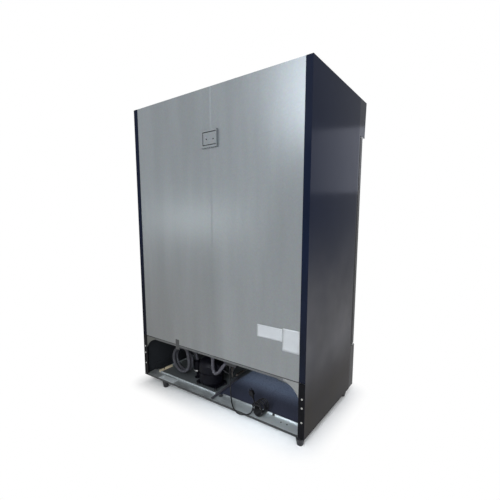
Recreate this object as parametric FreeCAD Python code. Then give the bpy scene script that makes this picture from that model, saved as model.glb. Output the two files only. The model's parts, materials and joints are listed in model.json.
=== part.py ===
import FreeCAD, Part
import math
import os

V = FreeCAD.Vector

# A two-door glass-front display refrigerator. Millimetres, +Z up, the doors face -Y and left is -X.
# The origin is on the floor, under the middle of the cabinet.

# Overall sizes
WIDTH = 1355.0
DEPTH = 812.0
HEIGHT = 1990.0
FOOT_H = 55.0
SKIN = 1.0
PLATE = 1.5
FIT = 0.3

# Cabinet shell
REAR_FLANGE = 38.0
FRONT_RETURN = 20.0
BACK_TUCK = 15.0
LAP = 30.0
JOGGLE = 12.0
COMPARTMENT_H = 303.0
FLOOR_LIP = 12.0
PANEL_GAP = 5.0
SIDE_WALL = 48.0
BACK_WALL = 50.0
TOP_WALL = 60.0
FLOOR_WALL = 64.0
HEAD_WALL = 40.0
FRAME_T = 18.0
FRAME_HEAD = 58.0
FRAME_CORNER = 10.0
SILL_DROP = 28.0
MULLION_W = 72.0
MULLION_D = 42.0

# Header light box and front grille
HEADER_H = 224.0
HEADER_LEAN = 12.0
HEADER_T = 2.0
HEADER_FACE = 3.0
HEADER_BORDER = 24.0
LENS_T = 3.0
LENS_BITE = 10.0
GRILLE_PROUD = 15.0
GRILLE_TOP_UP = 4.0
GRILLE_T = 2.0
GRILLE_BOTTOM_GAP = 5.0
GRILLE_BORDER = 42.0
LOUVRE_PITCH = 22.0
LOUVRE_D = 18.0
LOUVRE_RISE = 12.0
LOUVRE_T = 1.5
GRILLE_CORNER = 6.0

# Doors, hinges and handles
DOOR_SET_BACK = 46.0
DOOR_T = 44.0
DOOR_HEAD_GAP = 8.0
DOOR_SILL_GAP = 18.0
DOOR_SIDE_GAP = 1.0
DOOR_MEET = 3.0
DOOR_RAIL = 52.0
DOOR_EDGE = 5.0
PANE = 4.0
PANE_GAP = 12.0
GLASS_SET = 10.0
GLASS_BITE = 12.0
SPACER_IN = 44.0
SPACER_W = 10.0
GASKET_GAP = 12.0
GASKET_IN = 18.0
GASKET_W = 16.0
GASKET_CHAMFER = 3.0
HINGE_IN = 14.0
HINGE_GAP = 2.0
HINGE_PLATE = 4.0
HINGE_PLATE_W = 38.0
HINGE_LEG = 3.0
HINGE_LEG_H = 36.0
HINGE_CORNER = 8.0
PIN_R = 5.0
PIN_FIT = 0.05
PIN_LENGTH = 24.0
BORE_SPARE = 3.0
COLLAR_R = 9.0
HANDLE_R = 9.0
HANDLE_SPAN = 420.0
HANDLE_STAND = 34.0
HANDLE_BEND = 24.0
HANDLE_FLANGE_R = 15.0
HANDLE_FLANGE_T = 4.0

# Wiring cover on the back
COVER_X = -27.0
COVER_DROP = 287.5
COVER_W = 128.0
COVER_H = 100.0
COVER_PROUD = 12.0
COVER_SHEET = 1.2
COVER_CORNER = 3.0
COVER_SLOT_W = 5.0
COVER_SLOT_UP = 36.0
COVER_SLOT_LEFT = 60.0
COVER_SLOT_RIGHT = 44.0

# Base
RAIL_FACE_H = 15.0
RAIL_LEDGE = 100.0
RAIL_UPSTAND_IN = 88.0
RAIL_UPSTAND_H = 10.0
RAIL_INNER_DROP = 9.0
POST_W = 38.0
SIDE_RAIL_H = 55.0
SIDE_RAIL_W = 84.0
SIDE_RAIL_FLANGE = 20.0
TRAY_BACK_IN = 68.0
TRAY_LIP = 11.0
TRAY_INNER_X = 12.0
TRAY_FRONT_SEAT = 10.0
GUSSET_W = 95.0
GUSSET_H = 76.0
GUSSET_SAG = 15.0
SPLICE_X = 440.0
SPLICE_L = 157.0
SPLICE_D = 50.0
SPLICE_BOLT_R = 5.0
FOOT_IN_X = 37.5
FOOT_INNER_IN_X = 202.5
FOOT_BACK_IN = 30.0
FOOT_FRONT_IN = 30.0
FOOT_TOP_R = 26.0
FOOT_TIP_R = 18.0
FOOT_STUD_R = 6.0
FOOT_STUD_UP = 8.0

# Shelving and lights
SHELF_COUNT = 3
SHELF_MEET = 28.0
ROD_R = 4.0
WIRE_R = 2.5
WIRE_COUNT = 21
STANDARD_W = 20.0
STANDARD_D = 10.0
STANDARD_T = 1.2
STANDARD_END = 26.0
STANDARD_FRONT_IN = 60.0
STANDARD_BACK_IN = 77.0
SLOT_PITCH = 100.0
SLOT_W = 5.0
SLOT_H = 18.0
CLIP_T = 3.0
CLIP_REACH = 26.0
CLIP_W = 16.0
CLIP_CENTRE_W = 64.0
CLIP_H = 18.0
LIGHT_W = 14.0
LIGHT_END = 60.0

# Evaporator, under the ceiling
EVAP_H = 200.0
EVAP_SIDE_GAP = 37.5
EVAP_FACE_IN = 72.0
EVAP_REAR_GAP = 45.0
EVAP_SHEET = 1.5
EVAP_FAN_X = 300.0
EVAP_FAN_R = 72.0
EVAP_FAN_HUB_R = 16.0
EVAP_FAN_D = 24.0
EVAP_FAN_SEAT = 26.0
EVAP_FAN_GAP = 6.0
EVAP_COIL_SIDE_IN = 110.0
EVAP_COIL_D = 140.0
EVAP_COIL_BACK_IN = 60.0
EVAP_FIN_PITCH = 24.0
EVAP_BENDS = 4
KNOB_X = 70.0
KNOB_R = 18.0
KNOB_D = 16.0
KNOB_SHAFT_R = 3.0
SWITCH_X = -70.0
SWITCH_W = 20.0
SWITCH_H = 30.0
SWITCH_D = 9.0
TRUNNION_R = 1.5
CONTROL_DROP = 100.0

# Condensing unit
COMPRESSOR_X = 128.0
COMPRESSOR_BACK_IN = 155.0
COMPRESSOR_R = 88.0
COMPRESSOR_H = 190.0
TERMINAL_W = 56.0
TERMINAL_D = 26.0
TERMINAL_H = 62.0
MOUNT_H = 18.0
MOUNT_R = 13.0
BASE_PLATE_W = 190.0
BASE_PLATE_D = 130.0
ACCUMULATOR_X = 285.0
ACCUMULATOR_BACK_IN = 175.0
ACCUMULATOR_R = 27.0
ACCUMULATOR_UP = 43.5
ACCUMULATOR_H = 97.0
OUTLET_UP = 32.0
OUTLET_R = 7.0
LOOP_X = 385.0
LOOP_UP = 136.5
LOOP_R = 89.0
LOOP_BACK_IN = 96.0
LOOP_STEP = 28.0
LOOP_TURNS = 2
SUCTION_R = 12.5
LINE_R = 4.0
DRIER_R = 11.0
DRIER_L = 90.0
LINE_SIDE = 50.0
LINE_RUN = 60.0
CONDENSER_X = 310.0
CONDENSER_HALF = 240.0
CONDENSER_H = 238.0
CONDENSER_D = 76.0
CONDENSER_FRONT_IN = 14.0
CONDENSER_BENDS = 6
FIN_PITCH = 14.0
FIN_T = 0.8
COIL_PLATE = 1.5
COIL_BEND_R = 17.0
COIL_TUBE_R = 5.0
SHROUD_D = 34.0
CONDENSER_FAN_R = 106.0
CONDENSER_FAN_HUB_R = 22.0
CONDENSER_FAN_D = 30.0
CONDENSER_FAN_OUT = 12.0
CONDENSER_FAN_GAP = 6.0
MOTOR_R = 34.0
MOTOR_L = 52.0
EVAP_MOTOR_R = 26.0
EVAP_MOTOR_L = 40.0
SHAFT_R = 4.0
SHAFT_L = 30.0
ARM_W = 16.0
ARM_T = 3.0
HOSE_R = 11.0
PAN_W = 260.0
PAN_D = 210.0
PAN_H = 36.0
PAN_T = 2.5
PAN_X = -350.0
PAN_FRONT_IN = 10.0
PAN_TAPER = 8.0
DRAIN_PIPE_R = 8.0
BOX_X = -119.0
BOX_W = 82.0
BOX_D = 90.0
BOX_H = 58.0
BOX_BACK_IN = 70.0
LEAD_R = 3.0
LEAD_IN = 17.0
LEAD_BACK_IN = 142.0
LEAD_DROP = 95.0
LEAD_LOW_IN = 49.0
GLAND_L = 32.0
GLAND_R = 9.0

# Routes of the lines, hoses and the cord are drawn on a grid of this pitch
GRID = 1.0

# Power cord
CORD_R = 4.0
GLAND_X = -88.0
GLAND_BACK_IN = 100.0
HANK_LOOPS = 6
HANK_X = -365.0
HANK_BACK_IN = 10.0
HANK_RUN = 34.0
HANK_FOLD_R = 24.0
HANK_PITCH = 9.6
HANK_RISE = 10.0
HANK_LEAN = 5.0
PLUG_LEAN_X = 0.40
PLUG_LEAN_Z = 0.92
PLUG_RUN = 20.0
PLUG_BEND = 40.0
PLUG_STEM = 40.0
PLUG_RELIEF_L = 16.0
PLUG_BODY_L = 34.0
PLUG_W = 30.0
PLUG_T = 20.0
PLUG_PIN_L = 18.0
PLUG_PIN_R = 2.4
PLUG_PIN_X = 9.5

# Places worked out from the sizes above
HALF = WIDTH / 2
FRONT = -(DEPTH + COVER_PROUD) / 2
BACK = FRONT + DEPTH
COMP_TOP = FOOT_H + COMPARTMENT_H
BACK_PANEL_Z = COMP_TOP + FLOOR_LIP + PANEL_GAP
HEADER_Z = HEIGHT - HEADER_H
DOOR_FRONT = FRONT + DOOR_SET_BACK
DOOR_BACK = DOOR_FRONT + DOOR_T
FRAME_FRONT = DOOR_BACK + GASKET_GAP
FRAME_BACK = FRAME_FRONT + FRAME_T
DOOR_Z = COMP_TOP + DOOR_SILL_GAP
DOOR_TOP = HEADER_Z - DOOR_HEAD_GAP
OPEN_HALF = HALF - SKIN - SIDE_WALL - SKIN
OPEN_Z = COMP_TOP + SKIN + FLOOR_WALL + SKIN
OPEN_TOP = DOOR_TOP - FRAME_HEAD
CEILING = HEIGHT - SKIN - TOP_WALL - SKIN
LINER_BACK = BACK - 2 * SKIN - BACK_WALL - SKIN
HEAD_BACK = FRAME_BACK + SKIN + HEAD_WALL + SKIN
HINGE_X = HALF - DOOR_SIDE_GAP - HINGE_IN
HINGE_Y = DOOR_FRONT + DOOR_T / 2
GRILLE_FRONT = DOOR_FRONT - GRILLE_PROUD
GRILLE_TOP = COMP_TOP + GRILLE_TOP_UP
LEDGE_Z = FOOT_H + RAIL_FACE_H
TRAY_TOP = LEDGE_Z + PLATE
TRAY_FRONT = FRAME_BACK - TRAY_FRONT_SEAT
SIDE_RAIL_IN = HALF - SKIN - SIDE_RAIL_W
MULLION_BACK = FRAME_BACK + MULLION_D
EVAP_FACE = HEAD_BACK + EVAP_FACE_IN
EVAP_Z = CEILING - EVAP_H
EVAP_HALF = OPEN_HALF - EVAP_SIDE_GAP
EVAP_D = LINER_BACK - EVAP_REAR_GAP - EVAP_FACE
EVAP_COIL_HALF = EVAP_HALF - EVAP_COIL_SIDE_IN
EVAP_FAN_Z = EVAP_Z + EVAP_H / 2
CONTROL_Z = CEILING - CONTROL_DROP
CONDENSER_FRONT = FRAME_BACK + CONDENSER_FRONT_IN
CONDENSER_BACK = CONDENSER_FRONT + CONDENSER_D
SHROUD_BACK = CONDENSER_BACK + SHROUD_D
CONDENSER_FAN_Z = TRAY_TOP + CONDENSER_H / 2
COMPRESSOR_Y = BACK - COMPRESSOR_BACK_IN
ACCUMULATOR_Y = BACK - ACCUMULATOR_BACK_IN
ACCUMULATOR_Z = TRAY_TOP + ACCUMULATOR_UP
LOOP_Z = TRAY_TOP + LOOP_UP
GLAND_Y = BACK - GLAND_BACK_IN
COVER_Z = HEIGHT - COVER_DROP
HANDLE_Z = (DOOR_Z + DOOR_TOP) / 2
PLUG_DIR = V(PLUG_LEAN_X, 0, PLUG_LEAN_Z).normalize()


# Building blocks
def slab(x0, x1, y0, y1, z0, z1):
    return Part.makeBox(x1 - x0, y1 - y0, z1 - z0, V(x0, y0, z0))


def rod(radius, start, axis, length):
    return Part.makeCylinder(radius, length, start, axis)


def place(plane, u, v, w):
    """A point of a drawing plane in space, w along the plane's normal."""
    if plane == "xy":
        return V(u, v, w)
    if plane == "yz":
        return V(w, u, v)
    return V(u, w, v)


def prism(points, plane, start, length):
    """A closed outline drawn on a plane and pushed along the plane's normal."""
    corners = [place(plane, u, v, start) for u, v in points]
    face = Part.Face(Part.makePolygon(corners + corners[:1]))
    return face.extrude(place(plane, 0, 0, length))


def folded(points, thickness, plane, start, length):
    """Sheet metal bent along a line of points, its thickness on the left of the line."""
    runs = [V(b[0] - a[0], b[1] - a[1], 0).normalize() for a, b in zip(points, points[1:])]
    normals = [V(-run.y, run.x, 0) for run in runs]
    inner = []
    for i, (u, v) in enumerate(points):
        before = normals[max(i - 1, 0)]
        after = normals[min(i, len(normals) - 1)]
        shift = (before + after) * (thickness / (1 + before.dot(after)))
        inner.append((u + shift.x, v + shift.y))
    return prism(points + inner[::-1], plane, start, length)


def rounded_slab(x0, x1, z0, z1, radius, y0, y1):
    """A slab whose four edges along Y are rounded."""
    block = slab(x0, x1, y0, y1, z0, z1)
    edges = [e for e in block.Edges if abs(e.tangentAt(e.FirstParameter).y) > 0.9]
    return block.makeFillet(radius, edges)


def mirrored(shape):
    return shape.mirror(V(0, 0, 0), V(1, 0, 0))


def fuse(shapes):
    return shapes[0].multiFuse(shapes[1:]).removeSplitter()


def group(solids):
    return Part.makeCompound(solids)


def turned(shape, centre, axis, angle):
    copy = shape.copy()
    copy.rotate(centre, axis, angle)
    return copy


def arc_edge(start, tangent, end):
    """The circular edge that leaves start along tangent and reaches end, straight where they line up."""
    chord = end - start
    along = V(chord).normalize()
    aside = tangent - along * tangent.dot(along)
    if aside.Length < 1e-6:
        return Part.LineSegment(start, end).toShape()
    half_angle = math.atan2(aside.Length, tangent.dot(along)) / 2
    middle = start + chord * 0.5 + aside.normalize() * (chord.Length / 2 * math.tan(half_angle))
    return Part.Arc(start, middle, end).toShape()


def biarc(start, t0, end, t1):
    """Two circular edges that join start to end with the given directions at both."""
    chord = end - start
    a = 2 * (t0.dot(t1) - 1)
    b = -2 * chord.dot(t0 + t1)
    c = chord.dot(chord)
    if abs(a) < 1e-9:
        reach = -c / b
    else:
        reach = (-b - math.sqrt(b * b - 4 * a * c)) / (2 * a)
    joint = (start + t0 * reach + end - t1 * reach) * 0.5
    middle_dir = (end - t1 * reach - start - t0 * reach).normalize()
    return [arc_edge(start, t0, joint), arc_edge(joint, middle_dir, end)]


def smooth_path(stations):
    """One smooth wire through points with directions."""
    edges = []
    for (p0, t0), (p1, t1) in zip(stations, stations[1:]):
        edges += biarc(p0, t0, p1, t1)
    return Part.Wire(edges)


def bent_path(points, bend=None):
    """Straight runs joined by tangent arcs, of one bend radius or as large as the runs allow."""
    edges, radii = [], []
    last = points[0]
    for a, b, c in zip(points, points[1:], points[2:]):
        into, out = V(b - a).normalize(), V(c - b).normalize()
        half_turn = into.getAngle(out) / 2
        radius = bend
        if radius is None:
            radius = 0.49 * min((b - a).Length, (c - b).Length) / math.tan(half_turn)
        cut = radius * math.tan(half_turn)
        radii.append(radius)
        start, end = b - into * cut, b + out * cut
        edges.append(Part.LineSegment(last, start).toShape())
        edges.append(arc_edge(start, into, end))
        last = end
    edges.append(Part.LineSegment(last, points[-1]).toShape())
    return Part.Wire(edges), radii


def tube(path, radius):
    """A round bar swept along a wire."""
    first = path.Edges[0]
    start = first.valueAt(first.FirstParameter)
    ring = Part.Wire(Part.makeCircle(radius, start, first.tangentAt(first.FirstParameter)))
    return path.makePipeShell([ring], True, False)


def return_bend(face, y, z, way):
    """A tube's return outside a coil's end plate, drawn as six-sided bars with mitred corners."""
    reach = way * COIL_BEND_R
    first = V(face, y - COIL_BEND_R, z)
    line = [first, first + V(0.7 * reach, 0, 0), first + V(reach, 0.4 * COIL_BEND_R, 0)]
    line += [V(p.x, 2 * y - p.y, z) for p in line[::-1]]
    corners = []
    for k in range(6):
        angle = math.radians(60 * k)
        corners.append(first + V(0, COIL_TUBE_R * math.cos(angle), COIL_TUBE_R * math.sin(angle)))
    ring = Part.makePolygon(corners + corners[:1])
    return Part.makePolygon(line).makePipeShell([ring], True, False, 1)


def revolved(profile, x, y):
    """A closed outline of radius and height turned about an upright axis."""
    corners = [V(x + r, y, z) for r, z in profile]
    face = Part.Face(Part.makePolygon(corners + corners[:1]))
    return face.revolve(V(x, y, 0), V(0, 0, 1), 360)


def hexagon_bar(radius, start, axis, length):
    """A wire drawn as a six-sided bar with flats above and below."""
    side = V(0, 0, 1).cross(axis)
    corners = []
    for k in range(6):
        angle = math.radians(60 * k)
        corners.append(start + side * (radius * math.cos(angle)) + V(0, 0, radius * math.sin(angle)))
    return Part.Face(Part.makePolygon(corners + corners[:1])).extrude(axis * length)


def fan(x, y, z, radius, hub_r, depth, blades, bore):
    """A propeller about an axis along Y, y at its rear face, with twisted blades on a bored hub."""
    hub = rod(hub_r, V(x, y, z), V(0, -1, 0), depth)
    pieces = [hub]
    chord = 0.9 * depth
    for k in range(blades):
        sections = []
        for r, pitch, width in ((0.8 * hub_r, 48, chord), (0.6 * radius, 36, 1.7 * chord),
                                (radius, 24, 1.9 * chord)):
            spin, rise = math.radians(90 - pitch), math.radians(pitch)
            across = V(math.cos(rise), math.sin(rise), 0) * (min(width, depth * 0.98 / math.sin(rise)) / 2)
            thick = V(-math.cos(spin), math.sin(spin), 0) * 0.9
            middle = V(x, y - depth / 2, z + math.sqrt(max(r * r - (across.x) ** 2, 1.0)))
            low, high = middle - thick, middle + thick
            ring = [low - across, low + across, high + across, high - across]
            sections.append(Part.makePolygon(ring + ring[:1]))
        blade = Part.makeLoft(sections, True, True)
        pieces.append(turned(blade, V(x, y, z), V(0, 1, 0), 360.0 / blades * k))
    swept = fuse(pieces).common(rod(radius, V(x, y, z), V(0, -1, 0), depth))
    return swept.cut(rod(bore, V(x, y + 1, z), V(0, -1, 0), depth + 2))


# Cabinet shell
def side_panel():
    upper_line = [(HALF - FRONT_RETURN, FRAME_BACK), (HALF, FRAME_BACK),
                  (HALF, BACK), (HALF - REAR_FLANGE, BACK)]
    upper = folded(upper_line, SKIN, "xy", BACK_PANEL_Z, HEIGHT - BACK_PANEL_Z)
    lower = folded(upper_line[:3], SKIN, "xy", FOOT_H, BACK_PANEL_Z - FOOT_H)
    return fuse([upper, lower])


def left_back_panel():
    edge = HALF - REAR_FLANGE + BACK_TUCK
    low, high = BACK - 2 * SKIN, BACK - SKIN
    line = [(-edge, low), (-LAP - JOGGLE, low), (-LAP, high), (0, high)]
    return folded(line, SKIN, "xy", BACK_PANEL_Z, HEIGHT - SKIN - BACK_PANEL_Z)


def right_back_panel():
    edge = HALF - REAR_FLANGE + BACK_TUCK
    return slab(JOGGLE - LAP, edge, BACK - 2 * SKIN, BACK - SKIN, BACK_PANEL_Z, HEIGHT - SKIN)


def top_panel():
    half = HALF - SKIN
    return slab(-half, half, FRAME_BACK + SKIN, BACK - SKIN, HEIGHT - SKIN, HEIGHT)


def cabinet_floor_panel():
    lip_y = BACK - 2 * PLATE
    line = [(FRAME_BACK + SKIN, COMP_TOP), (lip_y, COMP_TOP), (lip_y, COMP_TOP + FLOOR_LIP)]
    half = HALF - SKIN
    sheet = folded(line, SKIN, "yz", -half, 2 * half)
    notch_x = HALF - SKIN - POST_W - FIT
    notch_y = BACK - POST_W - FIT
    notches = [slab(notch_x, HALF, notch_y, BACK, COMP_TOP - 1, BACK_PANEL_Z)]
    notches.append(mirrored(notches[0]))
    return sheet.cut(notches[0]).cut(notches[1])


def cavity(grow, front):
    """The storage room, or the room for the liner where it is grown by one sheet."""
    half = OPEN_HALF + grow
    main = slab(-half, half, front, LINER_BACK + grow, OPEN_Z - grow, OPEN_TOP + grow)
    upper = slab(-half, half, HEAD_BACK - grow, LINER_BACK + grow, OPEN_Z, CEILING + grow)
    return main.fuse(upper).removeSplitter()


def foam_insulation():
    half = HALF - SKIN
    block = slab(-half, half, FRAME_BACK + SKIN, BACK - 2 * SKIN, COMP_TOP + SKIN, HEIGHT - SKIN)
    rebate = slab(-half, half, BACK - 2 * PLATE - SKIN, BACK, COMP_TOP, BACK_PANEL_Z)
    corner = slab(HALF - SKIN - POST_W - FIT, HALF, BACK - POST_W - FIT, BACK, COMP_TOP, BACK_PANEL_Z)
    foam = block.cut(cavity(SKIN, FRAME_BACK - 1))
    return foam.cut(rebate).cut(corner).cut(mirrored(corner))


def inner_liner():
    return cavity(SKIN, FRAME_BACK).cut(cavity(0, FRAME_BACK - 1))


def front_frame():
    plate = slab(-HALF, HALF, FRAME_FRONT, FRAME_BACK, FOOT_H + PLATE, HEIGHT)
    through = (FRAME_FRONT - 1, FRAME_BACK + 1)
    bay = rounded_slab(MULLION_W / 2, OPEN_HALF, OPEN_Z, OPEN_TOP, FRAME_CORNER, *through)
    engine = rounded_slab(-OPEN_HALF, OPEN_HALF, LEDGE_Z, COMP_TOP - SILL_DROP, FRAME_CORNER / 2, *through)
    return plate.cut(bay).cut(mirrored(bay)).cut(engine)


def mullion_post():
    half = MULLION_W / 2
    line = [(half, MULLION_BACK), (half, FRAME_BACK), (-half, FRAME_BACK), (-half, MULLION_BACK)]
    return folded(line[::-1], PLATE, "xy", OPEN_Z, OPEN_TOP - OPEN_Z)


# Header light box and grille
def header_face_y(z):
    return FRONT + HEADER_LEAN * (HEIGHT - z) / HEADER_H


def header_section(inset_front, z0, z1, rear):
    front0, front1 = header_face_y(z0) + inset_front, header_face_y(z1) + inset_front
    return [(rear, z0), (front0, z0), (front1, z1), (rear, z1)]


def header_canopy():
    outer = prism(header_section(0, HEADER_Z, HEIGHT, FRAME_FRONT), "yz", -HALF, WIDTH)
    room = header_section(HEADER_FACE, HEADER_Z + HEADER_T, HEIGHT - HEADER_T, FRAME_FRONT + 1)
    inner = prism(room, "yz", -HALF + HEADER_T, WIDTH - 2 * HEADER_T)
    reach = HALF - HEADER_BORDER
    window = slab(-reach, reach, FRONT - 1, FRONT + HEADER_LEAN + HEADER_FACE + 1,
                  HEADER_Z + HEADER_BORDER, HEIGHT - HEADER_BORDER)
    hinge_room = slab(-HALF + HEADER_T, HALF - HEADER_T, FRAME_FRONT - HINGE_LEG - FIT, FRAME_FRONT + 1,
                      HEADER_Z - 1, HEADER_Z + HEADER_T + 1)
    return outer.cut(inner).cut(window).cut(hinge_room)


def header_lens():
    inset = HEADER_BORDER - LENS_BITE
    z0, z1 = HEADER_Z + inset, HEIGHT - inset
    front0, front1 = header_face_y(z0) + HEADER_FACE, header_face_y(z1) + HEADER_FACE
    section = [(front0, z0), (front1, z1), (front1 + LENS_T, z1), (front0 + LENS_T, z0)]
    return prism(section, "yz", -HALF + inset, WIDTH - 2 * inset)


def lower_grille():
    z0, z1 = FOOT_H + GRILLE_BOTTOM_GAP, GRILLE_TOP
    outer = slab(-HALF, HALF, GRILLE_FRONT, FRAME_FRONT, z0, z1)
    upright = [e for e in outer.Edges if abs(e.tangentAt(e.FirstParameter).z) > 0.9]
    outer = outer.makeFillet(GRILLE_CORNER, [e for e in upright if e.CenterOfMass.y < FRAME_FRONT - 1])
    inner = HALF - GRILLE_T
    room = slab(-inner, inner, GRILLE_FRONT + GRILLE_T, FRAME_FRONT + 1, z0 - 1, z1 - GRILLE_T)
    top_room = slab(-inner, inner, FRAME_FRONT - HINGE_LEG - 1, FRAME_FRONT + 1, z0, z1 + 1)
    shell = outer.cut(room).cut(top_room)
    x0, x1 = GRILLE_BORDER / 2, HALF - GRILLE_BORDER
    bottom, top = z0 + GRILLE_BORDER, z1 - GRILLE_BORDER
    window = slab(x0, x1, GRILLE_FRONT - 1, GRILLE_FRONT + GRILLE_T + 1, bottom, top)
    shell = shell.cut(window).cut(mirrored(window))
    blades = []
    count = int((top - bottom - LOUVRE_RISE) / LOUVRE_PITCH)
    first = bottom + (top - bottom - LOUVRE_RISE - (count - 1) * LOUVRE_PITCH) / 2
    for k in range(count):
        z = first + k * LOUVRE_PITCH
        front, rear = GRILLE_FRONT, GRILLE_FRONT + LOUVRE_D
        high = z + LOUVRE_RISE
        section = [(front, z), (rear, high), (rear, high + LOUVRE_T), (front, z + LOUVRE_T)]
        for start in (x0 - GRILLE_T, -x1 - GRILLE_T):
            blades.append(prism(section, "yz", start, x1 - x0 + 2 * GRILLE_T))
    stiles = []
    for x in (x0 - GRILLE_T, x1):
        stile = slab(x, x + GRILLE_T, GRILLE_FRONT, GRILLE_FRONT + LOUVRE_D,
                     bottom - GRILLE_T, top + GRILLE_T)
        stiles += [stile, mirrored(stile)]
    return fuse([shell] + blades + stiles)


def wiring_cover():
    """A shallow pressed box over the cable entry, its flap cut free along three slots."""
    x0, x1 = COVER_X - COVER_W / 2, COVER_X + COVER_W / 2
    z0, z1 = COVER_Z - COVER_H / 2, COVER_Z + COVER_H / 2
    sheet, top = COVER_SHEET, BACK + COVER_PROUD
    box = rounded_slab(x0, x1, z0, z1, COVER_CORNER, BACK, top)
    shell = box.cut(slab(x0 + sheet, x1 - sheet, BACK - 1, top - sheet, z0 + sheet, z1 - sheet))
    left, right = COVER_X - COVER_SLOT_LEFT, COVER_X + COVER_SLOT_RIGHT
    half, depth = COVER_SLOT_W / 2, (top - 2 * sheet, top + 1)
    for z in (COVER_Z - COVER_SLOT_UP, COVER_Z + COVER_SLOT_UP):
        shell = shell.cut(slab(left, right, *depth, z - half, z + half))
    low, high = COVER_Z - COVER_SLOT_UP - half, COVER_Z + COVER_SLOT_UP + half
    return shell.cut(slab(right - COVER_SLOT_W, right, *depth, low, high)).removeSplitter()


# Base
def rail_half():
    return HALF - SKIN - POST_W - FIT


def rear_base_rail():
    front = BACK - RAIL_LEDGE
    line = [(front, LEDGE_Z - RAIL_INNER_DROP), (front, LEDGE_Z), (BACK, LEDGE_Z), (BACK, FOOT_H)]
    half = rail_half()
    channel = folded(line[::-1], PLATE, "yz", -half, 2 * half)
    upstand_y = BACK - RAIL_UPSTAND_IN
    upstand = slab(-half, -TRAY_INNER_X * 3, upstand_y, upstand_y + PLATE,
                   LEDGE_Z - PLATE / 2, LEDGE_Z + RAIL_UPSTAND_H)
    stud_at = V(HALF - FOOT_INNER_IN_X, foot_rows()[0], LEDGE_Z - 2 * PLATE)
    stud = rod(FOOT_STUD_R + FIT, stud_at, V(0, 0, 1), 3 * PLATE)
    return fuse([channel, upstand]).cut(stud)


def base_side_rail():
    outer = HALF - SKIN
    floor = FOOT_H
    seat = LEDGE_Z - PLATE
    line = [(outer, floor + SIDE_RAIL_H), (outer, floor), (SIDE_RAIL_IN, floor), (SIDE_RAIL_IN, seat),
            (SIDE_RAIL_IN - SIDE_RAIL_FLANGE, seat)]
    rear_end = BACK - RAIL_LEDGE - FIT
    front_end = FRAME_BACK + SKIN
    main = folded(line[::-1], PLATE, "xz", front_end, rear_end - front_end)
    front_leg = slab(SIDE_RAIL_IN, HALF - FRONT_RETURN - FIT, FRAME_FRONT, front_end + PLATE,
                     floor, floor + PLATE)
    inner, start = rail_half() + FIT, rear_end - PLATE
    corner = slab(inner, outer, start, BACK - POST_W - FIT, floor, floor + PLATE)
    corner_end = slab(inner, outer - PLATE - FIT, start, BACK - PLATE - FIT, floor, floor + PLATE)
    rail = fuse([main, front_leg, corner, corner_end])
    for y in foot_rows():
        rail = rail.cut(rod(FOOT_STUD_R + FIT, V(HALF - FOOT_IN_X, y, floor - 1), V(0, 0, 1), PLATE + 2))
    return rail


def unit_tray():
    """The pan that carries the condensing unit, with an upturned lip at the back and the outer side."""
    rear = BACK - TRAY_BACK_IN
    outer = SIDE_RAIL_IN - FIT
    floor = slab(TRAY_INNER_X, outer, TRAY_FRONT, rear, LEDGE_Z, TRAY_TOP)
    back_lip = slab(TRAY_INNER_X, outer, rear - PLATE, rear, LEDGE_Z, LEDGE_Z + TRAY_LIP)
    side_lip = slab(outer - PLATE, outer, TRAY_FRONT + FRAME_T, rear, LEDGE_Z, LEDGE_Z + 1.4 * TRAY_LIP)
    gap_y = BACK - RAIL_LEDGE - TRAY_LIP
    gap = slab(outer - 2 * PLATE, outer + 1, gap_y - TRAY_LIP, gap_y, TRAY_TOP, LEDGE_Z + 2 * TRAY_LIP)
    return fuse([floor, back_lip, side_lip.cut(gap)])


def base_plate():
    """The floor of the open half of the compartment, turned up along the side rail."""
    x0, x1 = -(SIDE_RAIL_IN - FIT), TRAY_INNER_X - FIT
    y0, y1 = TRAY_FRONT, BACK - RAIL_UPSTAND_IN - FIT
    floor = slab(x0, x1, y0, y1, LEDGE_Z, TRAY_TOP)
    lip = slab(x0, x0 + PLATE, y0 + FRAME_T, y1, LEDGE_Z, LEDGE_Z + TRAY_LIP)
    return fuse([floor, lip])


def rear_corner_post():
    outer = HALF - SKIN
    line = [(outer, BACK - POST_W), (outer, BACK), (outer - POST_W, BACK)]
    return folded(line, PLATE, "xy", FOOT_H, BACK_PANEL_Z - PANEL_GAP / 2 - FOOT_H)


def corner_gusset():
    """A triangular stay with a hollowed edge, between the corner post and the cabinet floor."""
    outer = HALF - SKIN - PLATE - FIT
    inner = HALF - SKIN - POST_W - GUSSET_W
    top, low = COMP_TOP + FLOOR_LIP, COMP_TOP - GUSSET_H
    post_in = HALF - SKIN - POST_W
    y = BACK - 2 * PLATE
    a, b, c = V(outer, y, low), V(outer, y, top), V(inner, y, top)
    d, e = V(inner, y, COMP_TOP - PLATE), V(post_in, y, low)
    across = V(e - d).normalize()
    middle = (d + e) * 0.5 + V(-across.z, 0, across.x) * GUSSET_SAG
    edges = [Part.LineSegment(p, q).toShape() for p, q in ((a, b), (b, c), (c, d))]
    edges += [Part.Arc(d, middle, e).toShape(), Part.LineSegment(e, a).toShape()]
    return Part.Face(Part.Wire(edges)).extrude(V(0, PLATE, 0))


def rail_splice_plate():
    y1 = BACK - FIT
    plate = slab(SPLICE_X - SPLICE_L / 2, SPLICE_X + SPLICE_L / 2, y1 - SPLICE_D, y1,
                 LEDGE_Z, LEDGE_Z + PLATE)
    bolts = []
    for side in (-1, 1):
        centre = V(SPLICE_X + side * SPLICE_L / 3, y1 - SPLICE_D / 2, LEDGE_Z + PLATE / 2)
        bolts.append(hex_head(centre, SPLICE_BOLT_R, SPLICE_BOLT_R))
    return fuse([plate] + bolts)


def hex_head(base, radius, height):
    turns = [math.radians(60 * k) for k in range(6)]
    corners = [base + V(radius * math.cos(turn), radius * math.sin(turn), 0) for turn in turns]
    return Part.Face(Part.makePolygon(corners + corners[:1])).extrude(V(0, 0, height))


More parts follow.
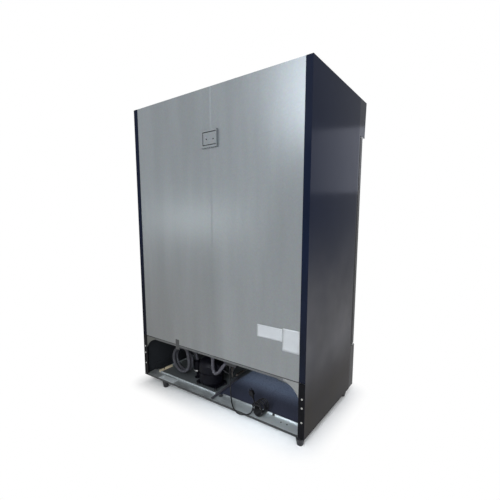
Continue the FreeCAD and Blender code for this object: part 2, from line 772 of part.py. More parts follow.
def foot_rows():
    return BACK - FOOT_BACK_IN, FRAME_FRONT + FOOT_FRONT_IN


def levelling_foot(x, y, seat, stud_top):
    """A tapered foot with a hexagon collar under its seat and a stud that screws into the base."""
    collar = 0.25 * FOOT_H
    shoulder = seat - collar
    profile = [(0, 0), (FOOT_TIP_R - 2, 0), (FOOT_TIP_R, 2), (FOOT_TOP_R, shoulder), (0, shoulder)]
    cone = revolved(profile, x, y)
    nut = hex_head(V(x, y, shoulder), FOOT_TOP_R * 0.8, collar - FIT)
    stud = rod(FOOT_STUD_R, V(x, y, shoulder), V(0, 0, 1), stud_top - shoulder)
    return fuse([cone, nut, stud])


# Doors, drawn for the right-hand door
def door_ring(inset, width, y0, y1):
    x0, x1 = DOOR_MEET / 2 + inset, HALF - DOOR_SIDE_GAP - inset
    z0, z1 = DOOR_Z + inset, DOOR_TOP - inset
    outer = slab(x0, x1, y0, y1, z0, z1)
    return outer.cut(slab(x0 + width, x1 - width, y0 - 1, y1 + 1, z0 + width, z1 - width))


def door_slab(inset, y0, y1):
    return slab(DOOR_MEET / 2 + inset, HALF - DOOR_SIDE_GAP - inset, y0, y1, DOOR_Z + inset, DOOR_TOP - inset)


def glass_front():
    return DOOR_FRONT + GLASS_SET


def door_frame():
    block = door_slab(0, DOOR_FRONT, DOOR_BACK)
    rim = [e for e in block.Edges if abs(e.CenterOfMass.y - DOOR_FRONT) < 1e-6]
    block = block.makeFillet(DOOR_EDGE, rim)
    sight = door_slab(DOOR_RAIL, DOOR_FRONT - 1, DOOR_BACK + 1)
    pocket = door_slab(DOOR_RAIL - GLASS_BITE, glass_front(), glass_front() + 2 * PANE + PANE_GAP + FIT)
    frame = block.cut(sight).cut(pocket)
    depth = PIN_LENGTH + BORE_SPARE
    for z, up in ((DOOR_Z, 1), (DOOR_TOP, -1)):
        frame = frame.cut(rod(PIN_R + PIN_FIT, V(HINGE_X, HINGE_Y, z - up), V(0, 0, up), depth + 1))
    return frame


def door_glass():
    inset = DOOR_RAIL - GLASS_BITE + FIT
    rear = glass_front() + PANE + PANE_GAP
    return group([door_slab(inset, glass_front(), glass_front() + PANE), door_slab(inset, rear, rear + PANE)])


def door_spacer():
    y0 = glass_front() + PANE
    return door_ring(SPACER_IN, SPACER_W, y0, y0 + PANE_GAP)


def door_gasket():
    ring = door_ring(GASKET_IN, GASKET_W, DOOR_BACK, FRAME_FRONT - FIT)
    rim = [e for e in ring.Edges if abs(e.CenterOfMass.y - FRAME_FRONT + FIT) < 1e-6]
    return ring.makeChamfer(GASKET_CHAMFER, rim)


def door_handle():
    """A round pull bar bent back to the door at both ends, on two flanges."""
    x = DOOR_MEET / 2 + DOOR_RAIL / 2
    z0, z1 = HANDLE_Z - HANDLE_SPAN / 2, HANDLE_Z + HANDLE_SPAN / 2
    front = DOOR_FRONT - HANDLE_STAND
    points = [V(x, DOOR_FRONT, z0), V(x, front, z0), V(x, front, z1), V(x, DOOR_FRONT, z1)]
    path, _ = bent_path(points, HANDLE_BEND)
    flanges = [rod(HANDLE_FLANGE_R, V(x, DOOR_FRONT, z), V(0, -1, 0), HANDLE_FLANGE_T) for z in (z0, z1)]
    return fuse([tube(path, HANDLE_R)] + flanges)


def hinge_bracket(z, up):
    """An angled plate on the front frame with a pin into the door; up is the way that the pin points."""
    x1 = HALF - DOOR_SIDE_GAP - 2
    x0 = x1 - HINGE_PLATE_W
    front = HINGE_Y - PIN_R - HINGE_CORNER
    z0, z1 = sorted((z, z - up * HINGE_PLATE))
    plate = slab(x0, x1, front, FRAME_FRONT, z0, z1)
    rim = [edge for edge in plate.Edges
           if abs(edge.tangentAt(edge.FirstParameter).z) > 0.9 and edge.CenterOfMass.y < front + 1]
    plate = plate.makeFillet(HINGE_CORNER, rim)
    leg_z0, leg_z1 = sorted((z, z - up * (HINGE_PLATE + HINGE_LEG_H)))
    leg = slab(x0, x1, FRAME_FRONT - HINGE_LEG, FRAME_FRONT, leg_z0, leg_z1)
    door_end = DOOR_Z if up > 0 else DOOR_TOP
    pin = rod(PIN_R, V(HINGE_X, HINGE_Y, z - up), V(0, 0, up), abs(door_end - z) + 1 + PIN_LENGTH)
    pieces = [plate, leg, pin]
    if up > 0:
        pieces.append(rod(COLLAR_R, V(HINGE_X, HINGE_Y, z - 1), V(0, 0, 1), door_end - FIT - z + 1))
    return fuse(pieces)


def hinge_brackets():
    lower = hinge_bracket(COMP_TOP + DOOR_SILL_GAP - HINGE_PLATE - FIT, 1)
    upper = hinge_bracket(DOOR_TOP + HINGE_GAP, -1)
    return group([lower, mirrored(lower), upper, mirrored(upper)])


# Shelving and lights
def shelf_levels():
    step = (EVAP_Z - OPEN_Z) / (SHELF_COUNT + 1)
    return [OPEN_Z + step * (k + 1) for k in range(SHELF_COUNT)]


def standard_places():
    """Where each shelf standard stands and the quarter turns that face it into the room."""
    side_rows = (HEAD_BACK + STANDARD_FRONT_IN, LINER_BACK - STANDARD_BACK_IN)
    places = [(0, MULLION_BACK, 0), (0, LINER_BACK, 2)]
    for y in side_rows:
        places += [(OPEN_HALF, y, 1), (-OPEN_HALF, y, 3)]
    return places


def shelf_standard():
    half = STANDARD_W / 2
    line = [(half, 0), (half, STANDARD_D), (-half, STANDARD_D), (-half, 0)]
    z0, z1 = OPEN_Z + STANDARD_END, OPEN_TOP - STANDARD_END
    channel = folded(line, STANDARD_T, "xy", z0, z1 - z0)
    count = int((z1 - z0) / SLOT_PITCH)
    slots = []
    for k in range(count):
        z = z0 + (k + 0.5) * SLOT_PITCH
        slots.append(slab(-SLOT_W / 2, SLOT_W / 2, STANDARD_D - 2 * STANDARD_T, STANDARD_D + 1,
                          z, z + SLOT_H))
    return channel.cut(group(slots))


def shelf_clip(width):
    leg = slab(-CLIP_W / 2, CLIP_W / 2, STANDARD_D, STANDARD_D + CLIP_T, -CLIP_H, 0)
    tab = slab(-width / 2, width / 2, STANDARD_D, STANDARD_D + CLIP_REACH, -CLIP_T, 0)
    return fuse([leg, tab])


def set_up(shape, x, y, quarter, z=0):
    """A wall piece drawn at the origin, facing +Y, stood at its place."""
    copy = turned(shape, V(0, 0, 0), V(0, 0, 1), 90 * quarter)
    copy.translate(V(x, y, z))
    return copy


def shelf_standards():
    """The six standards and the clips hung in them under each shelf."""
    solids = []
    for x, y, quarter in standard_places():
        solids.append(set_up(shelf_standard(), x, y, quarter))
        width = CLIP_CENTRE_W if x == 0 else CLIP_W
        solids += [set_up(shelf_clip(width), x, y, quarter, level) for level in shelf_levels()]
    return group(solids)


def wire_shelf(level):
    """Wires front to back over five cross rods, drawn for the right-hand bay."""
    x0, x1 = SHELF_MEET / 2, OPEN_HALF - STANDARD_D - 2 * FIT
    rod_flat, wire_flat = ROD_R * math.cos(math.pi / 6), WIRE_R * math.cos(math.pi / 6)
    front = MULLION_BACK + STANDARD_D + CLIP_REACH / 2
    rear = LINER_BACK - STANDARD_D - CLIP_REACH / 2
    side_rows = [y for x, y, quarter in standard_places() if quarter == 1]
    rows = [front] + side_rows + [rear, (side_rows[0] + side_rows[1]) / 2]
    solids = [hexagon_bar(ROD_R, V(x0, y, level + rod_flat), V(1, 0, 0), x1 - x0) for y in rows]
    wire_z = level + 2 * rod_flat + wire_flat
    step = (x1 - x0 - 4 * WIRE_R) / (WIRE_COUNT - 1)
    for k in range(WIRE_COUNT):
        x = x0 + 2 * WIRE_R + k * step
        solids.append(hexagon_bar(WIRE_R, V(x, front - ROD_R, wire_z), V(0, 1, 0), rear - front + 2 * ROD_R))
    return solids


def bay_shelves():
    return group([solid for level in shelf_levels() for solid in wire_shelf(level)])


def light_bars():
    """Lamp bars at both inner front corners of the room and one inside the header."""
    side = rounded_bar(OPEN_HALF - LIGHT_W, OPEN_HALF, FRAME_BACK + LIGHT_W, FRAME_BACK + 2 * LIGHT_W,
                       OPEN_Z + LIGHT_END, OPEN_TOP - LIGHT_END)
    middle = HEADER_Z + HEADER_H / 2
    reach = HALF - 2 * LIGHT_END
    head = slab(-reach, reach, FRAME_FRONT - LIGHT_W, FRAME_FRONT, middle - LIGHT_W, middle + LIGHT_W)
    return group([side, mirrored(side), head])


def rounded_bar(x0, x1, y0, y1, z0, z1):
    block = slab(x0, x1, y0, y1, z0, z1)
    upright = [e for e in block.Edges if abs(e.tangentAt(e.FirstParameter).z) > 0.9]
    return block.makeFillet(LIGHT_W / 3, [e for e in upright if abs(e.CenterOfMass.x - x0) < 1e-6])


# Evaporator
def evaporator_cover():
    """A sheet housing under the ceiling, open to it, with two fan openings and the controls on its face."""
    rear = EVAP_FACE + EVAP_D
    line = [(EVAP_FACE, CEILING), (EVAP_FACE, EVAP_Z), (rear, EVAP_Z), (rear, CEILING - EVAP_H / 3)]
    shell = folded(line, EVAP_SHEET, "yz", -EVAP_HALF, 2 * EVAP_HALF)
    end = slab(EVAP_HALF - EVAP_SHEET, EVAP_HALF, EVAP_FACE, rear, EVAP_Z, CEILING)
    ears = []
    for side in (-1, 1):
        x = SWITCH_X + side * (SWITCH_W / 2 + 2.5)
        ears.append(slab(x - 1.5, x + 1.5, EVAP_FACE + EVAP_SHEET / 2, EVAP_FACE + SWITCH_D,
                         CONTROL_Z - 5, CONTROL_Z + 5))
    cover = fuse([shell, end, mirrored(end)] + ears)
    through = (V(0, 1, 0), 3 * EVAP_SHEET)
    opening = EVAP_FAN_R + EVAP_FAN_GAP
    cuts = [rod(opening, V(side * EVAP_FAN_X, EVAP_FACE - 1, EVAP_FAN_Z), *through) for side in (-1, 1)]
    cuts.append(rod(KNOB_SHAFT_R + PIN_FIT, V(KNOB_X, EVAP_FACE - 1, CONTROL_Z), *through))
    gap_x, gap_z = SWITCH_W / 2 + FIT, SWITCH_H / 2 + 4 * FIT
    cuts.append(slab(SWITCH_X - gap_x, SWITCH_X + gap_x, EVAP_FACE - 1, EVAP_FACE + EVAP_SHEET + 1,
                     CONTROL_Z - gap_z, CONTROL_Z + gap_z))
    axle_start = V(SWITCH_X - SWITCH_W, switch_axis_y(), CONTROL_Z)
    cuts.append(rod(TRUNNION_R + PIN_FIT, axle_start, V(1, 0, 0), 2 * SWITCH_W))
    for cutter in cuts:
        cover = cover.cut(cutter)
    return cover


def switch_axis_y():
    return EVAP_FACE + SWITCH_D / 2


def light_switch():
    """A rocker with two sloping faces, on trunnions between the ears behind the housing's face."""
    y, half = EVAP_FACE, SWITCH_H / 2
    rear = y + SWITCH_D - 2
    section = [(y - 1, -half), (y - 4, -half + 2), (y - 2, 0), (y - 4, half - 2), (y - 1, half),
               (rear, half - 6), (rear, 6 - half)]
    body = prism([(v, CONTROL_Z + w) for v, w in section], "yz", SWITCH_X - SWITCH_W / 2, SWITCH_W)
    axle_at = V(SWITCH_X - SWITCH_W / 2 - 3, switch_axis_y(), CONTROL_Z)
    axle = rod(TRUNNION_R, axle_at, V(1, 0, 0), SWITCH_W + 6)
    return fuse([body, axle])


def thermostat_knob():
    """A dial with grip flutes and a pointer flat, on a shaft through the housing's face."""
    centre = V(KNOB_X, EVAP_FACE - FIT, CONTROL_Z)
    dial = Part.makeCone(KNOB_R, 0.85 * KNOB_R, KNOB_D, centre, V(0, -1, 0))
    flutes = []
    for k in range(10):
        angle = math.radians(36 * k + 18)
        base = centre + V(KNOB_R * 1.08 * math.cos(angle), 1, KNOB_R * 1.08 * math.sin(angle))
        flutes.append(rod(0.22 * KNOB_R, base, V(0, -1, 0), KNOB_D + 2))
    shaft = rod(KNOB_SHAFT_R, centre + V(0, -KNOB_D / 2, 0), V(0, 1, 0), KNOB_D)
    return fuse([dial.cut(group(flutes)), shaft])


def finned_coil(x0, x1, y0, y1, z0, z1, pitch, bends):
    """Fins between a top and a bottom plate, with end plates and return bends outside them."""
    solids = [slab(x0, x1, y0, y1, z0, z0 + COIL_PLATE), slab(x0, x1, y0, y1, z1 - COIL_PLATE, z1)]
    ends = [slab(x0 - COIL_PLATE, x0, y0, y1, z0, z1), slab(x1, x1 + COIL_PLATE, y0, y1, z0, z1)]
    for plate, face, way in ((ends[0], x0 - COIL_PLATE, -1), (ends[1], x1 + COIL_PLATE, 1)):
        pieces = [plate]
        for k in range(bends):
            z = z0 + (z1 - z0) * (k + 0.5) / bends
            y = (y0 + y1) / 2
            pieces.append(return_bend(face, y, z, way))
        solids.append(fuse(pieces))
    count = int((x1 - x0) / pitch)
    for k in range(count):
        x = x0 + (k + 0.5) * (x1 - x0) / count
        solids.append(slab(x - FIN_T / 2, x + FIN_T / 2, y0, y1, z0 + COIL_PLATE, z1 - COIL_PLATE))
    return group(solids)


def evaporator_coil():
    rear = EVAP_FACE + EVAP_D - EVAP_COIL_BACK_IN
    front = rear - EVAP_COIL_D
    return finned_coil(-EVAP_COIL_HALF, EVAP_COIL_HALF, front, rear, EVAP_Z + EVAP_SHEET, CEILING,
                       EVAP_FIN_PITCH, EVAP_BENDS)


def evaporator_fan():
    rear = EVAP_FACE + EVAP_SHEET + EVAP_FAN_SEAT + FIT
    return fan(EVAP_FAN_X, rear, EVAP_FAN_Z, EVAP_FAN_R, EVAP_FAN_HUB_R, EVAP_FAN_D, 5, SHAFT_R + PIN_FIT)


def fan_motor(x, fan_rear, z, radius, length, face_y, reach):
    """A motor behind a fan, its shaft in the hub, on three arms that reach forward to a face."""
    body_front = fan_rear + FIT
    body = rod(radius, V(x, body_front, z), V(0, 1, 0), length)
    rim = [e for e in body.Edges if e.BoundBox.YLength < 1e-6]
    body = body.makeChamfer(ARM_T, rim)
    shaft = rod(SHAFT_R, V(x, body_front + length / 2, z), V(0, -1, 0), length / 2 + FIT + SHAFT_L)
    pieces = [body, shaft]
    arm_y = body_front + length * 0.6
    for k in range(3):
        spoke = slab(x - ARM_W / 2, x + ARM_W / 2, arm_y, arm_y + ARM_T, z + radius - 4, z + reach + ARM_T)
        leg = slab(x - ARM_W / 2, x + ARM_W / 2, face_y, arm_y + ARM_T, z + reach, z + reach + ARM_T)
        pieces += [turned(piece, V(x, 0, z), V(0, 1, 0), 120 * k + 90) for piece in (spoke, leg)]
    return fuse(pieces)


def fan_motors():
    evap_face = EVAP_FACE + EVAP_SHEET
    evap_rear = evap_face + EVAP_FAN_SEAT + FIT
    reach = EVAP_FAN_R + EVAP_FAN_GAP + 2
    right = fan_motor(EVAP_FAN_X, evap_rear, EVAP_FAN_Z, EVAP_MOTOR_R, EVAP_MOTOR_L, evap_face, reach)
    low_reach = CONDENSER_FAN_R + CONDENSER_FAN_GAP + 2
    low = fan_motor(CONDENSER_X, condenser_fan_rear(), CONDENSER_FAN_Z, MOTOR_R, MOTOR_L,
                    SHROUD_BACK, low_reach)
    return group([right, mirrored(right), low])


# Condensing unit
def condenser_coil():
    x0, x1 = CONDENSER_X - CONDENSER_HALF, CONDENSER_X + CONDENSER_HALF
    return finned_coil(x0, x1, CONDENSER_FRONT, CONDENSER_BACK, TRAY_TOP, TRAY_TOP + CONDENSER_H,
                       FIN_PITCH, CONDENSER_BENDS)


def condenser_shroud():
    """A box behind the coil with a round, lipped fan opening."""
    x0, x1 = CONDENSER_X - CONDENSER_HALF, CONDENSER_X + CONDENSER_HALF
    z1 = TRAY_TOP + CONDENSER_H
    box = slab(x0, x1, CONDENSER_BACK, SHROUD_BACK, TRAY_TOP, z1)
    room = slab(x0 + PLATE, x1 - PLATE, CONDENSER_BACK - 1, SHROUD_BACK - PLATE, TRAY_TOP + PLATE, z1 - PLATE)
    opening = CONDENSER_FAN_R + CONDENSER_FAN_GAP
    lip_at = V(CONDENSER_X, SHROUD_BACK - SHROUD_D / 2, CONDENSER_FAN_Z)
    lip = rod(opening + PLATE, lip_at, V(0, 1, 0), SHROUD_D / 2)
    hole = rod(opening, V(CONDENSER_X, CONDENSER_BACK, CONDENSER_FAN_Z), V(0, 1, 0), SHROUD_D + 1)
    shell = box.cut(room)
    lip_ring = lip.cut(hole)
    return fuse([shell.cut(hole), lip_ring])


def condenser_fan_rear():
    return SHROUD_BACK + CONDENSER_FAN_OUT


def condenser_fan():
    return fan(CONDENSER_X, condenser_fan_rear(), CONDENSER_FAN_Z, CONDENSER_FAN_R, CONDENSER_FAN_HUB_R,
               CONDENSER_FAN_D, 5, SHAFT_R + PIN_FIT)


def compressor_base_z():
    return TRAY_TOP + MOUNT_H


def lower_shell_r():
    """The lower half of the compressor's shell slips inside the upper one."""
    return 0.97 * COMPRESSOR_R


def terminal_z():
    return compressor_base_z() + 0.5 * COMPRESSOR_H


def compressor():
    """A welded shell of two drawn halves on a foot plate, with a terminal cover and pipe stubs."""
    z0 = compressor_base_z()
    r, h = COMPRESSOR_R, COMPRESSOR_H
    waist = z0 + 0.45 * h
    low_r = lower_shell_r()
    points = [V(0, 0, z0), V(0.7 * r, 0, z0), V(low_r, 0, z0 + 0.16 * h), V(low_r, 0, waist),
              V(r + 5, 0, waist), V(r + 5, 0, waist + 6), V(r, 0, waist + 6),
              V(r, 0, z0 + 0.74 * h), V(0, 0, z0 + h)]
    low_mid = V(0.90 * r, 0, z0 + 0.05 * h)
    dome_mid = V(0.64 * r, 0, z0 + 0.94 * h)
    edges = [Part.LineSegment(points[0], points[1]).toShape(),
             Part.Arc(points[1], low_mid, points[2]).toShape()]
    edges += [Part.LineSegment(p, q).toShape() for p, q in zip(points[2:7], points[3:8])]
    edges += [Part.Arc(points[7], dome_mid, points[8]).toShape(),
              Part.LineSegment(points[8], points[0]).toShape()]
    shell = Part.Face(Part.Wire(edges)).revolve(V(0, 0, 0), V(0, 0, 1), 360)
    plate = rounded_plate(BASE_PLATE_W, BASE_PLATE_D, z0, z0 + 2 * PLATE, 16)
    for x, y in mount_offsets():
        plate = plate.cut(rod(MOUNT_R / 3, V(x, y, z0 - 1), V(0, 0, 1), 4 * PLATE))
    cover_z = terminal_z()
    cover = slab(-r - TERMINAL_D, -0.6 * r, -TERMINAL_W / 2, TERMINAL_W / 2, cover_z, cover_z + TERMINAL_H)
    rim = [e for e in cover.Edges if e.CenterOfMass.x < -r - 0.75 * TERMINAL_D]
    cover = cover.makeFillet(6, rim)
    stub = rod(7, V(0, -0.5 * r, z0 + 0.5 * h), V(0, -1, 0), 0.5 * r + 22)
    body = fuse([shell, plate, cover, stub])
    body.translate(V(COMPRESSOR_X, COMPRESSOR_Y, 0))
    return body


def rounded_plate(width, depth, z0, z1, radius):
    plate = slab(-width / 2, width / 2, -depth / 2, depth / 2, z0, z1)
    rim = [e for e in plate.Edges if abs(e.tangentAt(e.FirstParameter).z) > 0.9]
    return plate.makeFillet(radius, rim)


def mount_offsets():
    x, y = BASE_PLATE_W / 2 - MOUNT_R, BASE_PLATE_D / 2 - MOUNT_R
    return [(sx * x, sy * y) for sx in (-1, 1) for sy in (-1, 1)]


def compressor_mounts():
    """Waisted rubber mounts between the tray and the compressor's foot plate."""
    z0, z1 = TRAY_TOP, compressor_base_z()
    middle = (z0 + z1) / 2
    profile = [(MOUNT_R / 3, z0), (MOUNT_R, z0), (0.75 * MOUNT_R, middle), (MOUNT_R, z1), (MOUNT_R / 3, z1)]
    return group([revolved(profile, COMPRESSOR_X + x, COMPRESSOR_Y + y) for x, y in mount_offsets()])


def accumulator():
    """A capped bottle on a stay that stands on the tray, with a collared outlet to the compressor."""
    z0, r, h = ACCUMULATOR_Z, ACCUMULATOR_R, ACCUMULATOR_H
    profile = [(0, z0), (0.5 * r, z0), (r, z0 + 0.3 * r),
               (r, z0 + h - 0.3 * r), (0.5 * r, z0 + h), (0, z0 + h)]
    bottle = revolved(profile, ACCUMULATOR_X, ACCUMULATOR_Y)
    stay = rod(0.3 * r, V(ACCUMULATOR_X, ACCUMULATOR_Y, TRAY_TOP), V(0, 0, 1), z0 - TRAY_TOP + r)
    flange = rod(0.8 * r, V(ACCUMULATOR_X, ACCUMULATOR_Y, TRAY_TOP), V(0, 0, 1), 2 * PLATE)
    way = V(COMPRESSOR_X - ACCUMULATOR_X, COMPRESSOR_Y - ACCUMULATOR_Y, 0)
    reach = way.Length - lower_shell_r() - FIT
    way.normalize()
    start = V(ACCUMULATOR_X, ACCUMULATOR_Y, z0 + OUTLET_UP)
    outlet = rod(OUTLET_R, start, way, reach)
    collar = rod(1.5 * OUTLET_R, start + way * (reach - OUTLET_R), way, OUTLET_R)
    return fuse([bottle, stay, flange, outlet, collar])


def suction_line():
    """The insulated line that drops from the cabinet floor and makes its loops before the accumulator."""
    down, up = V(0, 0, -1), V(0, 0, 1)
    y = BACK - LOOP_BACK_IN
    stations = [(V(LOOP_X - LOOP_R + 20, y, COMP_TOP), down)]
    quarters = ((-1, 0, down), (0, -1, V(1, 0, 0)), (1, 0, up), (0, 1, V(-1, 0, 0)))
    quarter_step = LOOP_STEP / 4
    slope = quarter_step / (LOOP_R * math.pi / 2)
    for k in range(4 * LOOP_TURNS):
        side, rise, way = quarters[k % 4]
        y -= quarter_step
        place = V(LOOP_X + side * LOOP_R, y, LOOP_Z + rise * LOOP_R)
        stations.append((place, (way + V(0, -slope, 0)).normalize()))
    stations.append((V(ACCUMULATOR_X, ACCUMULATOR_Y, ACCUMULATOR_Z + ACCUMULATOR_H), down))
    return tube(smooth_path(stations), SUCTION_R)


def from_rear(x, forward, up):
    """A point of the machine compartment in grid steps, measured from the back and from the rear ledge."""
    return V(x * GRID, BACK - forward * GRID, LEDGE_Z + up * GRID)


def drier_start():
    return from_rear(-20, 340, 70)


def refrigerant_lines():
    """Copper lines: compressor to condenser, condenser to drier, and drier to the cabinet floor."""
    stub_z = compressor_base_z() + 0.5 * COMPRESSOR_H
    stub_end = COMPRESSOR_Y - COMPRESSOR_R - 22
    top_z = CONDENSER_FAN_Z + CONDENSER_H / 2 - COIL_BEND_R
    face = CONDENSER_X - CONDENSER_HALF - COIL_PLATE
    middle_y = (CONDENSER_FRONT + CONDENSER_BACK) / 2
    side, turn_y, entry_y = face - LINE_SIDE, stub_end - LINE_RUN, CONDENSER_BACK - 1.5 * LINE_R
    hot = [V(COMPRESSOR_X, stub_end, stub_z), V(COMPRESSOR_X, turn_y, stub_z), V(side, turn_y, top_z),
           V(side, entry_y, top_z), V(face, entry_y, top_z)]
    a = drier_start()
    b = a + V(0, DRIER_L, 0)
    low_z = TRAY_TOP + CONDENSER_H / CONDENSER_BENDS
    cold = [V(face, middle_y, low_z), V(a.x, middle_y, low_z), V(a.x, a.y - LINE_RUN, a.z), a]
    rise = [b] + [b + step * GRID for step in (V(0, 44, 0), V(0, 44, 86), V(-46, 50, 88))]
    rise.append(V(rise[-1].x, rise[-1].y, COMP_TOP))
    lines = [tube(bent_path(points, 4 * LINE_R)[0], LINE_R) for points in (hot, cold, rise)]
    cup = 2 * LINE_R
    profile = [(0, 0), (LINE_R + 1, 0), (DRIER_R, cup),
               (DRIER_R, DRIER_L - cup), (LINE_R + 1, DRIER_L), (0, DRIER_L)]
    drier = turned(revolved(profile, 0, 0), V(0, 0, 0), V(1, 0, 0), -90)
    drier.translate(a)
    return group(lines + [drier])


def drain_hose():
    """The trapped drain from the cabinet floor to the pan, and the stiff overflow pipe over the rear rail."""
    down = V(0, 0, -1)
    pan_y = FRAME_BACK + PAN_FRONT_IN + PAN_D / 2
    outlet = from_rear(38, 70, 0)
    stations = [(V(outlet.x, outlet.y, COMP_TOP), down), (from_rear(36, 70, 192), down),
                (from_rear(4, 70, 148), V(-0.86, 0, 0.5).normalize()),
                (from_rear(-50, 74, 210), V(-0.5, -0.3, 0.8).normalize()),
                (from_rear(-46, 150, 244), V(0, -1, 0)),
                (from_rear(-46, 220, 240), V(-0.05, -0.99, -0.1).normalize()),
                (from_rear(-120, 360, 210), V(-0.6, -0.75, -0.25).normalize()),
                (V(PAN_X + 60 * GRID, pan_y + 37 * GRID, LEDGE_Z + 100 * GRID),
                 V(-0.5, -0.5, -0.7).normalize()),
                (V(PAN_X + 30 * GRID, pan_y + 7 * GRID, TRAY_TOP + PAN_H), down)]
    hose = tube(smooth_path(stations), HOSE_R)
    lift = TRAY_TOP + DRAIN_PIPE_R + FIT
    start, end = from_rear(-15, 2, 0), from_rear(22, 340, 0)
    start.z = end.z = lift
    pipe = rod(DRAIN_PIPE_R, start, end - start, (end - start).Length)
    bore = rod(0.7 * DRAIN_PIPE_R, start, end - start, (end - start).Length / 3)
    return group([hose, pipe.cut(bore)])


def condensate_pan():
    """A moulded pan with sloping walls that catches the drain water."""
    y0 = FRAME_BACK + PAN_FRONT_IN

    def tub(shrink, z0, z1):
        rings = []
        for z, taper in ((z0, PAN_TAPER), (z1, 0)):
            x_in, y_in = shrink + taper, shrink + taper
            corners = [V(PAN_X + sx * (PAN_W / 2 - x_in), y0 + PAN_D / 2 + sy * (PAN_D / 2 - y_in), z)
                       for sx, sy in ((-1, -1), (1, -1), (1, 1), (-1, 1))]
            rings.append(Part.makePolygon(corners + corners[:1]))
        return Part.makeLoft(rings, True, True)

    return tub(0, TRAY_TOP, TRAY_TOP + PAN_H).cut(tub(PAN_T, TRAY_TOP + PAN_T, TRAY_TOP + PAN_H + 1))


def compressor_lead():
    """The flexible lead that hangs from the wiring box to the compressor's terminal cover."""
    y = BACK - LEAD_BACK_IN
    box_z = COMP_TOP - BOX_H
    level = V(1, 0, 0)
    end = V(COMPRESSOR_X - COMPRESSOR_R - TERMINAL_D, y, terminal_z() + TERMINAL_H / 2)
    stations = [(V(BOX_X + BOX_W / 2 - LEAD_IN, y, box_z), V(0, 0, -1)),
                (V(end.x - LEAD_LOW_IN, y, box_z - LEAD_DROP), level), (end, level)]
    return tube(smooth_path(stations), LEAD_R)


def junction_box():
    """A wiring box under the cabinet floor, with the cord's tapered gland and the compressor's lead."""
    y1 = BACK - BOX_BACK_IN
    z0 = COMP_TOP - BOX_H
    body = rounded_box(BOX_X - BOX_W / 2, BOX_X + BOX_W / 2, y1 - BOX_D, y1, z0, COMP_TOP)
    lid_line = slab(BOX_X - BOX_W, BOX_X + BOX_W, y1 - 2 * BOX_D, y1 + BOX_D, z0 + 10, z0 + 11.5)
    core = slab(BOX_X - BOX_W / 2 + 1, BOX_X + BOX_W / 2 - 1, y1 - BOX_D + 1, y1 - 1, z0, z0 + 20)
    groove = lid_line.cut(core)
    gland = Part.makeCone(GLAND_R, CORD_R + 1.5, GLAND_L, V(GLAND_X, GLAND_Y, z0), V(0, 0, -1))
    nut = hex_head(V(GLAND_X, GLAND_Y, z0 - 7), GLAND_R + 3, 7)
    return group([fuse([body.cut(groove), gland, nut]), compressor_lead()])


def rounded_box(x0, x1, y0, y1, z0, z1):
    block = slab(x0, x1, y0, y1, z0, z1)
    rim = [e for e in block.Edges if abs(e.tangentAt(e.FirstParameter).z) > 0.9]
    return block.makeFillet(5, rim)


# Power cord
def hank_start():
    """Where the cord joins the hank, on the way up to its first fold."""
    return V(HANK_X + HANK_FOLD_R, BACK - HANK_BACK_IN, hank_folds()[1])


def hank_folds():
    """The heights of the lower and upper folds' centres."""
    low = LEDGE_Z + FIT + CORD_R + HANK_FOLD_R
    return low, low + HANK_RUN


def cord_points():
    """The free stretch: down from the gland, over the rail's edge and up to the hank."""
    tip = V(GLAND_X, GLAND_Y, COMP_TOP - BOX_H - GLAND_L)
    end = hank_start()
    sweep = [end + step * GRID for step in (V(23, 11, -56), V(7, 3.5, -40), V(0, 0, -20))]
    return [tip, tip + V(0, 0, -56) * GRID, from_rear(-94, 94, 82), from_rear(-112, 76, 40),
            from_rear(-142, 43, 28), from_rear(-178, 6, 24), from_rear(-212, -20, 12),
            from_rear(-250, -24, -4), from_rear(-288, -14, -1),
            *sweep, end]


def power_cord():
    points = cord_points()
    path, radii = bent_path(points)
    solid = tube(path, CORD_R)
    print("cord radii", [round(r) for r in radii])
    ratio = solid.Volume / (math.pi * CORD_R ** 2 * path.Length)
    print("cord length %.0f, volume ratio %.4f" % (path.Length, ratio))
    return solid


def hank_path():
    """Loose upright loops that stand on the ledge, differ in height and lean, and step towards the front."""
    start = hank_start()
    low, top = hank_folds()
    near, far = HANK_X + HANK_FOLD_R, HANK_X - HANK_FOLD_R
    up, down = V(0, 0, 1), V(0, 0, -1)
    y = start.y
    stations = [(start, up)]
    for k in range(HANK_LOOPS + 1):
        lean = HANK_LEAN * math.sin(1.9 * k)
        high = top + HANK_RISE * math.sin(2.3 * k) ** 2
        if k:
            stations.append((V(near + lean, y, high), up))
        stations.append((V(far + lean, y, high), down))
        y -= HANK_PITCH / 2 if k else HANK_PITCH
        stations.append((V(far, y, low), down))
        if k < HANK_LOOPS:
            stations.append((V(near, y, low), up))
            y -= HANK_PITCH / 2
    foot = V(HANK_X, y, low - HANK_FOLD_R)
    bend = foot + V(PLUG_RUN, 0, 0)
    stem = bend + V(PLUG_DIR.z, 0, 1 - PLUG_DIR.x) * PLUG_BEND
    stations += [(foot, V(1, 0, 0)), (bend, V(1, 0, 0)), (stem, PLUG_DIR)]
    stations.append((stem + PLUG_DIR * PLUG_STEM, PLUG_DIR))
    return smooth_path(stations)


def least_self_gap(path, diameter):
    """The smallest space between stretches of a path that are more than a fold apart."""
    step = 6.0
    points = path.discretize(int(path.Length / step))
    apart = int(math.pi * HANK_FOLD_R / step)
    nearest = min((p - q).Length for i, p in enumerate(points) for q in points[i + apart:])
    return nearest - diameter


def cord_hank():
    path = hank_path()
    solid = tube(path, CORD_R)
    print("hank length %.0f, least gap %.2f" % (path.Length, least_self_gap(path, 2 * CORD_R)))
    return solid


